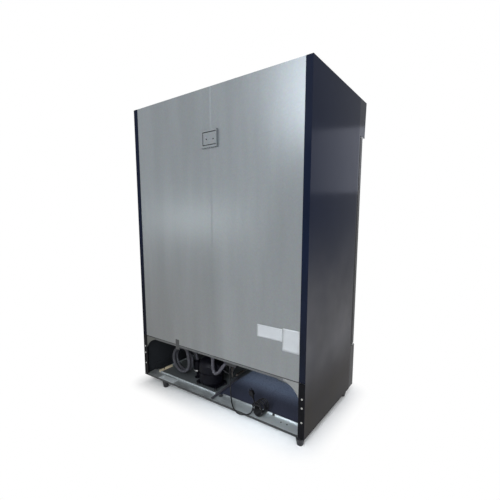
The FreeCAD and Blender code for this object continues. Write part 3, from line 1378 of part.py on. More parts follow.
def plug():
    """A two-pin moulded plug at the end of the hank, with a stepped strain relief."""
    last = hank_path().Edges[-1]
    base = last.valueAt(last.LastParameter)
    relief = Part.makeCone(CORD_R + 1, CORD_R + 4, PLUG_RELIEF_L, V(0, 0, 0), V(0, 0, 1))
    sections = []
    for z, width, depth in ((PLUG_RELIEF_L - 1, 14, 12), (PLUG_RELIEF_L + 10, PLUG_W, PLUG_T),
                            (PLUG_RELIEF_L + PLUG_BODY_L, PLUG_W * 0.92, PLUG_T * 0.9)):
        ring = [V(sx * width / 2, sy * depth / 2, z) for sx, sy in ((-1, -1), (1, -1), (1, 1), (-1, 1))]
        sections.append(Part.makePolygon(ring + ring[:1]))
    body = Part.makeLoft(sections, True, True)
    face = PLUG_RELIEF_L + PLUG_BODY_L
    pins = [rod(PLUG_PIN_R, V(side * PLUG_PIN_X, 0, face - 1), V(0, 0, 1), PLUG_PIN_L + 1)
            for side in (-1, 1)]
    whole = fuse([relief, body] + pins)
    lean = math.degrees(math.atan2(PLUG_LEAN_X, PLUG_LEAN_Z))
    whole.rotate(V(0, 0, 0), V(0, 1, 0), lean)
    whole.translate(base)
    return whole


def pair(name, right):
    """A piece drawn for the right-hand side, and its mirror image."""
    return {"left_" + name: mirrored(right), "right_" + name: right}


def pieces():
    """Every node's shape by name; left and right are as seen from the front."""
    shapes = {}
    shapes.update(pair("side_panel", side_panel()))
    shapes["left_back_panel"] = left_back_panel()
    shapes["right_back_panel"] = right_back_panel()
    shapes["top_panel"] = top_panel()
    shapes["cabinet_floor_panel"] = cabinet_floor_panel()
    shapes["foam_insulation"] = foam_insulation()
    shapes["inner_liner"] = inner_liner()
    shapes["front_frame"] = front_frame()
    shapes["mullion_post"] = mullion_post()
    shapes["header_canopy"] = header_canopy()
    shapes["header_lens"] = header_lens()
    shapes["lower_grille"] = lower_grille()
    shapes["wiring_cover"] = wiring_cover()
    shapes["rear_base_rail"] = rear_base_rail()
    shapes["base_side_rails"] = group([base_side_rail(), mirrored(base_side_rail())])
    shapes["unit_tray"] = unit_tray()
    shapes["base_plate"] = base_plate()
    shapes["rear_corner_posts"] = group([rear_corner_post(), mirrored(rear_corner_post())])
    gusset = corner_gusset()
    shapes["base_brackets"] = group([gusset, mirrored(gusset), rail_splice_plate()])
    rear_y, front_y = foot_rows()
    corner_foot = (FOOT_H, FOOT_H + PLATE + FOOT_STUD_UP)
    shapes.update(pair("front_foot", levelling_foot(HALF - FOOT_IN_X, front_y, *corner_foot)))
    shapes["left_rear_foot"] = levelling_foot(FOOT_IN_X - HALF, rear_y, *corner_foot)
    shapes["right_rear_foot"] = levelling_foot(HALF - FOOT_INNER_IN_X, rear_y, LEDGE_Z - PLATE, LEDGE_Z - FIT)
    shapes.update(pair("door_frame", door_frame()))
    shapes.update(pair("door_glass", door_glass()))
    shapes.update(pair("door_spacer", door_spacer()))
    shapes.update(pair("door_gasket", door_gasket()))
    shapes.update(pair("door_handle", door_handle()))
    shapes["hinge_brackets"] = hinge_brackets()
    shapes["shelf_standards"] = shelf_standards()
    shapes.update(pair("bay_shelves", bay_shelves()))
    shapes["light_bars"] = light_bars()
    shapes["evaporator_cover"] = evaporator_cover()
    shapes["evaporator_coil"] = evaporator_coil()
    shapes.update(pair("evaporator_fan", evaporator_fan()))
    shapes["fan_motors"] = fan_motors()
    shapes["thermostat_knob"] = thermostat_knob()
    shapes["light_switch"] = light_switch()
    shapes["compressor"] = compressor()
    shapes["compressor_mounts"] = compressor_mounts()
    shapes["accumulator"] = accumulator()
    shapes["suction_line"] = suction_line()
    shapes["refrigerant_lines"] = refrigerant_lines()
    shapes["condenser_coil"] = condenser_coil()
    shapes["condenser_shroud"] = condenser_shroud()
    shapes["condenser_fan"] = condenser_fan()
    shapes["drain_hose"] = drain_hose()
    shapes["condensate_pan"] = condensate_pan()
    shapes["junction_box"] = junction_box()
    shapes["power_cord"] = power_cord()
    shapes["cord_hank"] = cord_hank()
    shapes["plug"] = plug()
    return shapes


os.makedirs("parts", exist_ok=True)
for node, shape in pieces().items():
    shape.exportStep("parts/" + node + ".step")
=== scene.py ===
"""Looks, light and camera for a two-door glass-front refrigerator, seen from behind."""
import json
import math

import bmesh
import bpy
from mathutils import Matrix, Vector


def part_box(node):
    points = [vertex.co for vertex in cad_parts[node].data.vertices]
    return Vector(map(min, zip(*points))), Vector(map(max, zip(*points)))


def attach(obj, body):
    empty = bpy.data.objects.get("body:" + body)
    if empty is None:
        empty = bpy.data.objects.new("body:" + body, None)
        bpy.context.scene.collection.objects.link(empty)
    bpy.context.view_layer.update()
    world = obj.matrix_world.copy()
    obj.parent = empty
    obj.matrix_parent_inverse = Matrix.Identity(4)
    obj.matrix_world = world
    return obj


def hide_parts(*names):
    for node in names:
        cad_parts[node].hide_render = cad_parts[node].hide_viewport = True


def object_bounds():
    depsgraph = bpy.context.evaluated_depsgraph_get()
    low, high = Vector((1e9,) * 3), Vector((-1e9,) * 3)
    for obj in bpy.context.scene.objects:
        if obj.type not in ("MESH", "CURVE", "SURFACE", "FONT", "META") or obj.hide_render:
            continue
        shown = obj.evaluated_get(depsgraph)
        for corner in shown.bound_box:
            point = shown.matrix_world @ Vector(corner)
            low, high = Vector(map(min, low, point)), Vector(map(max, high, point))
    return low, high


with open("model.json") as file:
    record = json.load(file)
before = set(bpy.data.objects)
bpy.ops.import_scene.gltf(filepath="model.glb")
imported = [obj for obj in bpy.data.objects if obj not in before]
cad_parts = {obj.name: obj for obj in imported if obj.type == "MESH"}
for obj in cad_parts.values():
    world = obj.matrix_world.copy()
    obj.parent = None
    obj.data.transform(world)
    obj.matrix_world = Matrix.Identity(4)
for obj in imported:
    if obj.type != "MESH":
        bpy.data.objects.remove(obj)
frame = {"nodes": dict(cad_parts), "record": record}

BOUNDS_AT_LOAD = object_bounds()
NODES = frame["nodes"]
CABINET = "cabinet"

# Places read from the frame, in metres, and the gap between pieces that fit
FIT = 0.0003
LOW, HIGH = (Vector(corner) for corner in BOUNDS_AT_LOAD)
BACK_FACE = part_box("left_back_panel")[1][1]
PANEL_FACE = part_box("right_back_panel")[1][1]
PANEL_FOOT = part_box("right_back_panel")[0][2]
LEDGE_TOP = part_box("cord_hank")[0][2] - FIT
UPSTAND_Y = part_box("base_plate")[1][1] + FIT
POST_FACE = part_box("rear_corner_posts")[1][1]
COVER_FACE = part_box("wiring_cover")[1][1]
COMPARTMENT_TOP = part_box("cabinet_floor_panel")[0][2]
TRAY_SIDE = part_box("unit_tray")[1][0]

BACKWARDS = (0, 1, 0)
UPWARDS = (0, 0, 1)

# Where a finish or a painted shade, highlight or reflection changes: the place where the change starts and
# the place where it is complete, in metres
# Painted shade on the back panels, deepening towards the floor
PANEL_SHADE_DEEPENS = (1.5, 0.35)
# Painted reflection on the gloss coats, warmer towards the floor
COAT_REFLECTION_WARMS = (1.25, 0.45)
# Painted reflections on the side panels' outer faces: pale and cloudy at mid-height, warm and dark near the
# floor
SIDE_REFLECTION_SPREADS = (1.3, 0.6)
SIDE_LOW_REFLECTION = (0.5, 0.2)
# Painted shade on the rail's rear face
RAIL_REAR_SHADE = (BACK_FACE - 0.004, BACK_FACE - 0.002)
LEDGE_SOILED = (-0.40, 0.0)
# Painted highlight along the upstand's -X end
UPSTAND_HIGHLIGHTED = (-0.22, -0.36)
UPSTAND_REAR = (UPSTAND_Y + 0.004, UPSTAND_Y + 0.002)
# Painted highlight on the side rails' top face at the back
SIDE_RAIL_LIT = (BACK_FACE - 0.11, BACK_FACE - 0.09)
TRAY_STRIP_X = (TRAY_SIDE - 0.016, TRAY_SIDE - 0.012)
TRAY_STRIP_Y = (0.200, 0.204)
# Painted shade on the gussets, changing from one to the other
GUSSET_SHADE_CHANGES = (0.2, 0.5)
GUSSET_FOOT = (0.10, 0.14)
# Painted pool of pale blue light on the base plate, rising and then fading across its depth
PLATE_LIGHT_RISES = (0.18, -0.06)
PLATE_LIGHT_FADES = (-0.14, -0.26)
# Painted shade in the gap behind the back panels
FOAM_GAP_SHADE = (BACK_FACE - 0.020, BACK_FACE - 0.018)


# Materials
EVEN = (1, 1, 1)


class Shader:
    """A node material on a Principled shader, with a few ways to vary it over the surface."""

    # Least values that count as looking along an axis, and as looking away from the middle or towards it
    LOOKS_ALONG = 0.6
    LOOKS_SIDEWAYS = 0.3

    def __init__(self, name, metallic=0.0, specular=0.5):
        self.material = bpy.data.materials.new(name)
        self.material.use_nodes = True
        self.tree = self.material.node_tree
        self.shader = self.tree.nodes["Principled BSDF"]
        surface = self.tree.nodes.new("ShaderNodeTexCoord").outputs
        self.coords = surface["Object"]
        self.normals = surface["Normal"]
        self.set("Metallic", metallic)
        self.set("Specular IOR Level", specular)

    def set(self, socket, value):
        self.shader.inputs[socket].default_value = value

    def node(self, kind, **values):
        made = self.tree.nodes.new(kind)
        for key, value in values.items():
            if hasattr(made, key):
                setattr(made, key, value)
            else:
                made.inputs[key].default_value = value
        return made

    def link(self, output, target):
        self.tree.links.new(output, target)

    def stretched(self, scale):
        mapping = self.node("ShaderNodeMapping", Scale=scale)
        self.link(self.coords, mapping.inputs["Vector"])
        return mapping.outputs["Vector"]

    def noise(self, scale, stretch=EVEN, detail=4.0, roughness=0.55):
        made = self.node("ShaderNodeTexNoise", Scale=scale, Detail=detail, Roughness=roughness)
        self.link(self.stretched(stretch), made.inputs["Vector"])
        return made.outputs["Fac"]

    def cells(self, scale, stretch=EVEN):
        made = self.node("ShaderNodeTexVoronoi", Scale=scale)
        self.link(self.stretched(stretch), made.inputs["Vector"])
        return made.outputs

    def ramp(self, factor, stops):
        made = self.node("ShaderNodeValToRGB")
        elements = made.color_ramp.elements
        while len(elements) < len(stops):
            elements.new(0.5)
        for element, (place, colour) in zip(elements, stops):
            element.position = place
            element.color = (*colour, 1.0)
        self.link(factor, made.inputs["Fac"])
        return made.outputs["Color"]

    def mix(self, factor, a, b, blend="MIX"):
        made = self.node("ShaderNodeMix", data_type="RGBA", blend_type=blend)
        inputs = {socket.name: socket for socket in made.inputs if socket.type == "RGBA"}
        for socket, value in ((made.inputs[0], factor), (inputs["A"], a), (inputs["B"], b)):
            if isinstance(value, bpy.types.NodeSocket):
                self.link(value, socket)
            else:
                socket.default_value = value if isinstance(value, float) else (*value, 1.0)
        return [socket for socket in made.outputs if socket.type == "RGBA"][0]

    def span(self, factor, low, high):
        """A factor of 0 to 1, spread from a low value to a high one."""
        made = self.node("ShaderNodeMapRange")
        made.inputs["To Min"].default_value = low
        made.inputs["To Max"].default_value = high
        self.link(factor, made.inputs["Value"])
        return made.outputs["Result"]

    def rising(self, value, start, end):
        """Rises smoothly from 0 to 1 as a value goes from start to end."""
        made = self.node("ShaderNodeMapRange", interpolation_type="SMOOTHSTEP")
        made.inputs["From Min"].default_value = start
        made.inputs["From Max"].default_value = end
        self.link(value, made.inputs["Value"])
        return made.outputs["Result"]

    def part(self, vector, axis):
        parts = self.node("ShaderNodeSeparateXYZ")
        self.link(vector, parts.inputs["Vector"])
        return parts.outputs[axis]

    def along(self, axis, start, end):
        """Rises from 0 to 1 between two places on an axis of the object."""
        return self.rising(self.part(self.coords, axis), start, end)

    def both(self, a, b):
        made = self.node("ShaderNodeMath", operation="MULTIPLY")
        self.link(a, made.inputs[0])
        self.link(b, made.inputs[1])
        return made.outputs["Value"]

    def past(self, value, operation, limit):
        """1 where a value is past a limit, 0 elsewhere."""
        made = self.node("ShaderNodeMath", operation=operation)
        made.inputs[1].default_value = limit
        self.link(value, made.inputs[0])
        return made.outputs["Value"]

    def facing(self, axis):
        """1 on faces that look along an axis, 0 on the others."""
        return self.past(self.part(self.normals, axis), "GREATER_THAN", self.LOOKS_ALONG)

    def sideways(self, axis):
        """Positive on faces that look away from the middle of the object, negative on those towards it."""
        return self.both(self.part(self.normals, axis), self.part(self.coords, axis))

    def outward(self, axis):
        """1 on faces that look away from the middle of the object along an axis, 0 on the others."""
        return self.past(self.sideways(axis), "GREATER_THAN", self.LOOKS_SIDEWAYS)

    def inward(self, axis):
        """1 on faces that look towards the middle of the object along an axis, 0 on the others."""
        return self.past(self.sideways(axis), "LESS_THAN", -self.LOOKS_SIDEWAYS)

    def colour(self, output):
        self.link(output, self.shader.inputs["Base Color"])

    def rough(self, factor, low, high):
        self.link(self.span(factor, low, high), self.shader.inputs["Roughness"])

    def bump(self, factor, distance, strength):
        made = self.node("ShaderNodeBump", Strength=strength, Distance=distance)
        self.link(factor, made.inputs["Height"])
        self.link(made.outputs["Normal"], self.shader.inputs["Normal"])


def tinted(base, amount):
    """A colour made darker or lighter, kept within range."""
    return tuple(min(1.0, max(0.0, channel * amount)) for channel in base)


def sheet_zinc(name, base, metallic, aged=None, dullness=0.45):
    """Zinc-coated sheet: soft vertical rolling bands, a faint spangle and handling smears."""
    made = Shader(name, metallic)
    bands = made.noise(3.0, (2.2, 2.2, 0.25), detail=3.0)
    spangle = made.cells(130.0)["Color"]
    smears = made.noise(5.0, (1.0, 1.0, 0.6), detail=6.0, roughness=0.65)
    tone = made.ramp(bands, [(0.3, tinted(base, 0.92)), (0.5, base), (0.72, tinted(base, 1.1))])
    grain = made.mix(0.05, tone, spangle, "OVERLAY")
    worn = made.mix(made.span(smears, 0.0, 0.22), grain, tinted(base, 0.8))
    made.colour(aged(made, worn) if aged else worn)
    made.rough(bands, dullness - 0.06, dullness + 0.06)
    made.bump(made.noise(2.2, (1.2, 1.2, 0.5), detail=2.0), 0.0012, 0.25)
    return made.material


def shaded_foot(made, tone):
    """Painted shade: the back panels are painted duller and warmer towards the floor."""
    dull = made.mix(0.8, tone, (0.78, 0.73, 0.68), "MULTIPLY")
    return made.mix(made.along("Z", *PANEL_SHADE_DEEPENS), tone, dull)


def coat_dust(made):
    return made.noise(7.0, (1, 1, 0.7), detail=8.0, roughness=0.68)


def finish_gloss(made, dust):
    """A gloss dulled by dust, with the coat's slight waviness."""
    made.rough(dust, 0.05, 0.22)
    made.bump(made.noise(1.7, (1, 1, 0.6), detail=1.0), 0.0015, 0.12)
    return made.material


def gloss_coat(name, navy, warm_reflection):
    """Smooth blue-black coat with slight waviness, dustier, and warmer towards the floor as a painted
    reflection.
    """
    made = Shader(name, specular=0.03)
    dust = coat_dust(made)
    # Painted reflection: the coat turns warmer towards the floor
    tone = made.mix(made.along("Z", *COAT_REFLECTION_WARMS), navy, warm_reflection)
    made.colour(made.mix(made.span(dust, 0.0, 0.3), tone, tinted(navy, 3.0)))
    return finish_gloss(made, dust)


def side_coat(name, navy, warm_reflection, haze, low_reflection, inside):
    """The side panels' coat, with painted reflections: a pale cloudy reflection at mid-height and a warm dark
    one near the floor; primer on the inner face.
    """
    made = Shader(name, specular=0.015)
    dust = coat_dust(made)
    # Painted reflection on the flange: blue-black at the top, warmer towards the floor
    flange = made.mix(made.along("Z", *COAT_REFLECTION_WARMS), navy, warm_reflection)
    # Painted reflection: the haze colour is a pale cloudy reflection at mid-height, the low colour a warm
    # reflection near the floor
    reflection_noise = made.noise(1.6, (1, 1.2, 1.5), detail=3.0, roughness=0.5)
    clouds = made.ramp(reflection_noise, [(0.25, tinted(haze, 0.45)), (0.65, haze)])
    reflected_veil = made.mix(made.along("Z", *SIDE_REFLECTION_SPREADS), tinted(navy, 1.6), clouds)
    broad_reflection = made.mix(made.along("Z", *SIDE_LOW_REFLECTION), reflected_veil, low_reflection)
    outer = made.mix(made.outward("X"), flange, broad_reflection)
    dusty = made.mix(made.span(dust, 0.0, 0.3), outer, tinted(navy, 3.0))
    made.colour(made.mix(made.inward("X"), dusty, inside))
    return finish_gloss(made, dust)


def satin_paint(name, base, metallic=0.0, specular=0.3, wear=0.3):
    """Paint with a fine orange-peel skin and worn, lighter speckles."""
    made = Shader(name, metallic, specular)
    patches = made.noise(16.0, detail=6.0, roughness=0.6)
    dull, bright = tinted(base, 1 - 0.6 * wear), tinted(base, 1 + 1.2 * wear)
    made.colour(made.ramp(patches, [(0.3, dull), (0.55, base), (0.8, bright)]))
    made.rough(patches, 0.32, 0.55)
    made.bump(made.noise(900.0, detail=1.0), 0.00012, 0.35)
    return made.material


def moulded(name, base, roughness=0.5):
    """Moulded plastic with a fine spark-eroded texture."""
    made = Shader(name, specular=0.4)
    clouds = made.noise(22.0, detail=5.0)
    made.colour(made.ramp(clouds, [(0.3, tinted(base, 0.85)), (0.7, tinted(base, 1.2))]))
    made.rough(clouds, roughness - 0.08, roughness + 0.1)
    made.bump(made.noise(1400.0, detail=2.0), 0.0001, 0.4)
    return made.material


def rubbery(name, base, roughness=0.62, specular=0.25):
    """Rubber or foamed insulation with dust bloom and a pitted skin."""
    made = Shader(name, specular=specular)
    bloom = made.noise(34.0, detail=7.0, roughness=0.7)
    made.colour(made.ramp(bloom, [(0.28, tinted(base, 0.8)), (0.6, base), (0.85, tinted(base, 1.8))]))
    made.rough(bloom, roughness - 0.12, roughness + 0.12)
    made.bump(made.noise(420.0, detail=3.0), 0.0003, 0.4)
    return made.material


def bare_metal(name, base, roughness, streak=EVEN):
    """Bare drawn or milled metal with fine streaks and a little tarnish."""
    made = Shader(name, metallic=1.0)
    lines = made.noise(60.0, streak, detail=3.0)
    tarnish = made.noise(9.0, detail=6.0)
    tone = made.ramp(lines, [(0.3, tinted(base, 0.86)), (0.7, tinted(base, 1.08))])
    made.colour(made.mix(made.span(tarnish, 0.0, 0.3), tone, tinted(base, 0.6)))
    made.rough(tarnish, roughness - 0.08, roughness + 0.16)
    return made.material


def clear_glass(name):
    """Thin door glazing: mostly see-through, with a faint green tint and wiping marks in its gloss."""
    made = Shader(name)
    wipe = made.noise(6.0, (1, 1, 0.4), detail=5.0)
    made.colour(made.ramp(wipe, [(0.3, (0.70, 0.80, 0.78)), (0.8, (0.78, 0.86, 0.84))]))
    made.rough(wipe, 0.02, 0.09)
    made.set("Alpha", 0.06)
    return made.material


def lit_acrylic(name):
    """Translucent white acrylic with a soft inner tone."""
    made = Shader(name)
    haze = made.noise(4.0, detail=3.0)
    made.colour(made.ramp(haze, [(0.3, (0.80, 0.82, 0.82)), (0.75, (0.90, 0.91, 0.90))]))
    made.rough(haze, 0.22, 0.34)
    made.set("Subsurface Weight", 0.15)
    return made.material


def paper(name, base):
    """Coated label stock with a slightly uneven, creased face."""
    made = Shader(name, specular=0.4)
    age = made.noise(26.0, detail=5.0)
    made.colour(made.ramp(age, [(0.3, tinted(base, 0.93)), (0.7, base)]))
    made.rough(age, 0.4, 0.6)
    made.bump(made.noise(120.0, detail=3.0), 0.0002, 0.3)
    return made.material


def cell_foam(name, base, skin=None):
    """Rigid foam with open cells; where a skin colour is given, the foam at the cabinet's rear edge is
    painted that near-black as painted shade in the gap behind the panels.
    """
    made = Shader(name, specular=0.2)
    cells = made.cells(420.0)["Distance"]
    tone = made.ramp(cells, [(0.0, tinted(base, 0.7)), (0.5, base)])
    made.colour(made.mix(made.along("Y", *FOAM_GAP_SHADE), tone, skin) if skin else tone)
    made.set("Roughness", 0.9)
    made.bump(cells, 0.0008, 0.6)
    return made.material


def rail_zinc(name, base):
    """The rear rail: a ledge grimy past its middle, a rear face painted near-black as painted shade, and an
    upstand painted darker at one end with a painted highlight at the other.
    """
    def aged(made, tone):
        # Painted shade: the rail's rear face is near-black
        rear = made.both(made.facing("Y"), made.along("Y", *RAIL_REAR_SHADE))
        blotches = made.noise(11.0, (1, 2.5, 1), detail=6.0, roughness=0.7)
        grime = made.ramp(blotches, [(0.35, tinted(base, 0.42)), (0.65, tinted(base, 0.9))])
        ledge = made.mix(made.along("X", *LEDGE_SOILED), tone, grime)
        # Painted highlight at the upstand's -X end, darker towards +X
        bright = made.mix(made.along("X", *UPSTAND_HIGHLIGHTED), tinted(base, 0.55), tinted(base, 1.5))
        upstand = made.mix(made.along("Y", *UPSTAND_REAR), ledge, bright)
        return made.mix(rear, upstand, tinted(base, 0.07))
    return sheet_zinc(name, base, 0.5, aged)


def side_rail_paint(name, base, worn):
    """Dark painted rails, scuffed, and pale on the top face at the back as a painted highlight."""
    made = Shader(name, specular=0.25)
    scuffs = made.noise(14.0, detail=6.0, roughness=0.6)
    # Painted highlight: the top face at the back takes the pale colour
    bare = made.both(made.facing("Z"), made.along("Y", *SIDE_RAIL_LIT))
    tone = made.ramp(scuffs, [(0.3, tinted(base, 0.8)), (0.7, tinted(base, 1.25))])
    made.colour(made.mix(bare, tone, worn))
    made.rough(scuffs, 0.4, 0.6)
    return made.material


def tray_zinc(name, base, cream):
    """The unit tray: upward faces painted darker as painted shade, a bright rear lip and a cream edge strip
    at its outer side.
    """
    def aged(made, tone):
        # Painted shade: the tray's upward faces are darkened
        floor = made.mix(made.facing("Z"), tone, tinted(base, 0.29))
        strip = made.both(made.along("X", *TRAY_STRIP_X), made.along("Y", *TRAY_STRIP_Y))
        return made.mix(strip, floor, cream)
    return sheet_zinc(name, base, 0.4, aged)


def bracket_zinc(name, base, shaded_left, shaded_right):
    """Grey corner gussets above, painted darker than the plate as painted shade, one darker than the other,
    and the bright splice plate below.
    """
    def aged(made, tone):
        shaded_gusset = made.mix(made.along("X", *GUSSET_SHADE_CHANGES), shaded_left, shaded_right)
        return made.mix(made.along("Z", *GUSSET_FOOT), tone, shaded_gusset)
    return sheet_zinc(name, base, 0.4, aged)


def speckled_floor(name, near, far):
    """Blue-grey speckled coat, with a painted pool of pale blue light in the middle of its depth."""
    made = Shader(name, specular=0.25)
    grain = made.cells(210.0, (1, 1, 0.2))["Distance"]
    # Painted light: the far colour is a pool of pale blue light
    light_pool = made.mix(made.along("Y", *PLATE_LIGHT_RISES), near, far)
    tone = made.mix(made.along("Y", *PLATE_LIGHT_FADES), light_pool, near)
    blots = made.noise(60.0, (1, 0.3, 1), detail=3.0, roughness=0.7)
    worn = made.mix(made.span(blots, 0.50, 0.58), tone, tinted(near, 0.9))
    made.colour(made.mix(made.span(grain, 0.0, 0.6), worn, tinted(near, 0.6)))
    made.rough(grain, 0.5, 0.75)
    made.bump(grain, 0.0012, 0.6)
    return made.material


# Blue-black of the gloss coats: partly their own colour, partly a painted blue reflection
NAVY = (0.006, 0.009, 0.021)

# One finish for each material slot of the record
SLOTS = {
    "gloss_black_sheet": gloss_coat("black_gloss_coat", NAVY, warm_reflection=(0.018, 0.017, 0.016)),
    "galvanised_sheet": sheet_zinc("zinc_sheet", (0.230, 0.252, 0.270), 0.6, shaded_foot, dullness=0.30),
    "dark_sheet": satin_paint("dark_satin_paint", (0.024, 0.027, 0.032)),
    "white_sheet": satin_paint("white_satin_paint", (0.66, 0.68, 0.68), wear=0.04),
    # The foam's near-black skin is painted shade in the panel gap
    "insulating_foam": cell_foam("rigid_foam", (0.80, 0.70, 0.47), skin=(0.010, 0.010, 0.011)),
    "black_plastic": moulded("black_moulding", (0.012, 0.012, 0.014)),
    "grey_plastic": moulded("grey_moulding", (0.14, 0.145, 0.15)),
    "clear_glass": clear_glass("door_glazing"),
    "plain_aluminium": bare_metal("milled_aluminium", (0.62, 0.63, 0.64), 0.34, streak=(1, 1, 30)),
    "soft_rubber": rubbery("black_rubber", (0.018, 0.018, 0.020)),
    "white_lens": lit_acrylic("white_acrylic"),
    "copper_line": bare_metal("dull_line", (0.13, 0.115, 0.10), 0.42),
    "black_shell": satin_paint("black_shell_paint", (0.0035, 0.0035, 0.0055), specular=0.07),
    "white_wire": moulded("white_wire_coat", (0.72, 0.73, 0.73), 0.36),
    "black_cord": rubbery("cable_sheath", (0.006, 0.006, 0.007), 0.36, specular=0.15),
}

# Nodes that differ from the finish of their slot
# The side coat's haze and low colours are painted reflections
SIDE_COAT = side_coat("side_gloss_coat", NAVY, warm_reflection=(0.006, 0.006, 0.0065), haze=(0.135, 0.132, 0.136),
                      low_reflection=(0.034, 0.029, 0.022), inside=(0.030, 0.033, 0.038))
OWN_LOOK = {
    "left_side_panel": SIDE_COAT,
    "right_side_panel": SIDE_COAT,
    # The base plate's far colour is painted light
    "base_plate": speckled_floor("slate_floor_coat", near=(0.035, 0.039, 0.062), far=(0.60, 0.72, 1.0)),
    "rear_base_rail": rail_zinc("rail_zinc_sheet", (0.44, 0.47, 0.48)),
    # The side rails' pale colour is a painted highlight on their top face
    "base_side_rails": side_rail_paint("side_rail_coat", (0.026, 0.029, 0.033), worn=(0.34, 0.34, 0.32)),
    "unit_tray": tray_zinc("tray_zinc_sheet", (0.42, 0.46, 0.475), cream=(0.78, 0.70, 0.54)),
    "base_brackets": bracket_zinc("bracket_zinc_sheet", (0.62, 0.66, 0.68), shaded_left=(0.175, 0.178, 0.175),
                                  shaded_right=(0.075, 0.078, 0.070)),
    # Painted shade: the cabinet floor strip gets a darker zinc than the back panels
    "cabinet_floor_panel": sheet_zinc("shaded_floor_zinc_sheet", (0.085, 0.088, 0.090), 0.4),
    "rear_corner_posts": satin_paint("post_paint", (0.004, 0.004, 0.005), specular=0.05),
    "drain_hose": rubbery("grey_hose", (0.050, 0.048, 0.058), 0.42),
    "suction_line": rubbery("insulating_sleeve", (0.042, 0.042, 0.050), 0.6),
}

# Finishes of the trim
PAPER = paper("label_paper", (0.317, 0.324, 0.331))
# Painted shade: the foil tape is given a near-black metal colour for the shade it sits in
SHADED_FOIL = bare_metal("shaded_foil_tape", (0.080, 0.083, 0.085), 0.36, streak=(20, 1, 20))
ZINC_SCREW = bare_metal("zinc_screw", (0.52, 0.52, 0.50), 0.32)
BLACK_SCREW = satin_paint("black_screw", (0.02, 0.02, 0.022), metallic=0.4)
SEALANT = cell_foam("sealing_foam", (0.50, 0.44, 0.33))
STEEL_BAND = bare_metal("bright_band", (0.70, 0.70, 0.68), 0.26)


def dress_frame():
    """Gives every CAD node its material."""
    for entry in frame["record"]["subparts"]:
        node = NODES[entry["node"]]
        node.data.materials.clear()
        node.data.materials.append(OWN_LOOK.get(entry["node"], SLOTS[entry["material_slot"]]))


# Pieces in mesh code
TURNED_EDGE = 35
SOFT_EDGE = 60
ON_AXIS = 1e-6


def add_object(name, data):
    made = bpy.data.objects.new(name, data)
    bpy.context.scene.collection.objects.link(made)
    return made


def to_mesh(name, build):
    mesh = bpy.data.meshes.new(name)
    build.to_mesh(mesh)
    build.free()
    return mesh


def new_piece(name, build, material, sharp_over):
    """A piece that rides on the cabinet, smooth but for edges sharper than an angle in degrees."""
    mesh = to_mesh(name, build)
    mesh.shade_smooth()
    mesh.set_sharp_from_angle(angle=math.radians(sharp_over))
    mesh.materials.append(material)
    piece = add_object(name, mesh)
    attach(piece, CABINET)
    return piece


def lathe(name, profile, at, axis, material, steps):
    """A turned piece: profile holds radius and height along the axis."""
    build = bmesh.new()
    rings = []
    for radius, height in profile:
        ring = []
        for k in range(steps if radius > ON_AXIS else 1):
            angle = 2 * math.pi * k / steps
            ring.append(build.verts.new((radius * math.cos(angle), radius * math.sin(angle), height)))
        rings.append(ring)
    for low, high in zip(rings, rings[1:]):
        for k in range(steps):
            a, b = low[k % len(low)], low[(k + 1) % len(low)]
            c, d = high[(k + 1) % len(high)], high[k % len(high)]
            corners = list(dict.fromkeys((a, b, c, d)))
            if len(corners) > 2:
                build.faces.new(corners)
    bmesh.ops.recalc_face_normals(build, faces=build.faces)
    turn = Vector(axis).to_track_quat("Z", "Y").to_matrix().to_4x4()
    build.transform(Matrix.Translation(at) @ turn)
    return new_piece(name, build, material, TURNED_EDGE)


def sheet_piece(name, rows, thickness, material):
    """A thin sheet through rows of points, thickened evenly to both sides."""
    build = bmesh.new()
    grid = [[build.verts.new(point) for point in row] for row in rows]
    for low, high in zip(grid, grid[1:]):
        for corners in zip(low, low[1:], high[1:], high):
            build.faces.new(corners)
    bmesh.ops.recalc_face_normals(build, faces=build.faces)
    piece = new_piece(name, build, material, SOFT_EDGE)
    solid = piece.modifiers.new("thickness", "SOLIDIFY")
    solid.thickness = thickness
    solid.offset = 0.0
    return piece


# A pan head with a sunk drive: radius and height as shares of the head's radius
SCREW_LINE = [(0, 0), (1, 0), (1, 0.147), (0.86, 0.336), (0.55, 0.42), (0.42, 0.42), (0.336, 0.126),
              (0, 0.105)]
SCREW_STEPS = 18


def screw(name, at, axis, radius, material=BLACK_SCREW):
    """A screw head seated on a face."""
    profile = [(radius * across, radius * up) for across, up in SCREW_LINE]
    return lathe(name, profile, at, axis, material, SCREW_STEPS)


# Camera
CAMERA_AT = Vector((-1.396, 1.9058, 1.2185))
CAMERA_TURN = math.radians(36.02)
CAMERA_DROP = math.radians(7.81)
CAMERA_SENSOR = 36.0
CAMERA_LENS = 23.87
CAMERA_SHIFT = (0.0053, 0.0357)


def set_camera():
    data = bpy.data.cameras.new("camera")
    data.sensor_width = CAMERA_SENSOR
    data.lens = CAMERA_LENS
    data.shift_x, data.shift_y = CAMERA_SHIFT
    camera = add_object("camera", data)
    level = math.cos(CAMERA_DROP)
    forward = Vector((math.sin(CAMERA_TURN) * level, -math.cos(CAMERA_TURN) * level, -math.sin(CAMERA_DROP)))
    camera.location = CAMERA_AT
    camera.rotation_euler = forward.to_track_quat("-Z", "Y").to_euler()
    bpy.context.scene.camera = camera


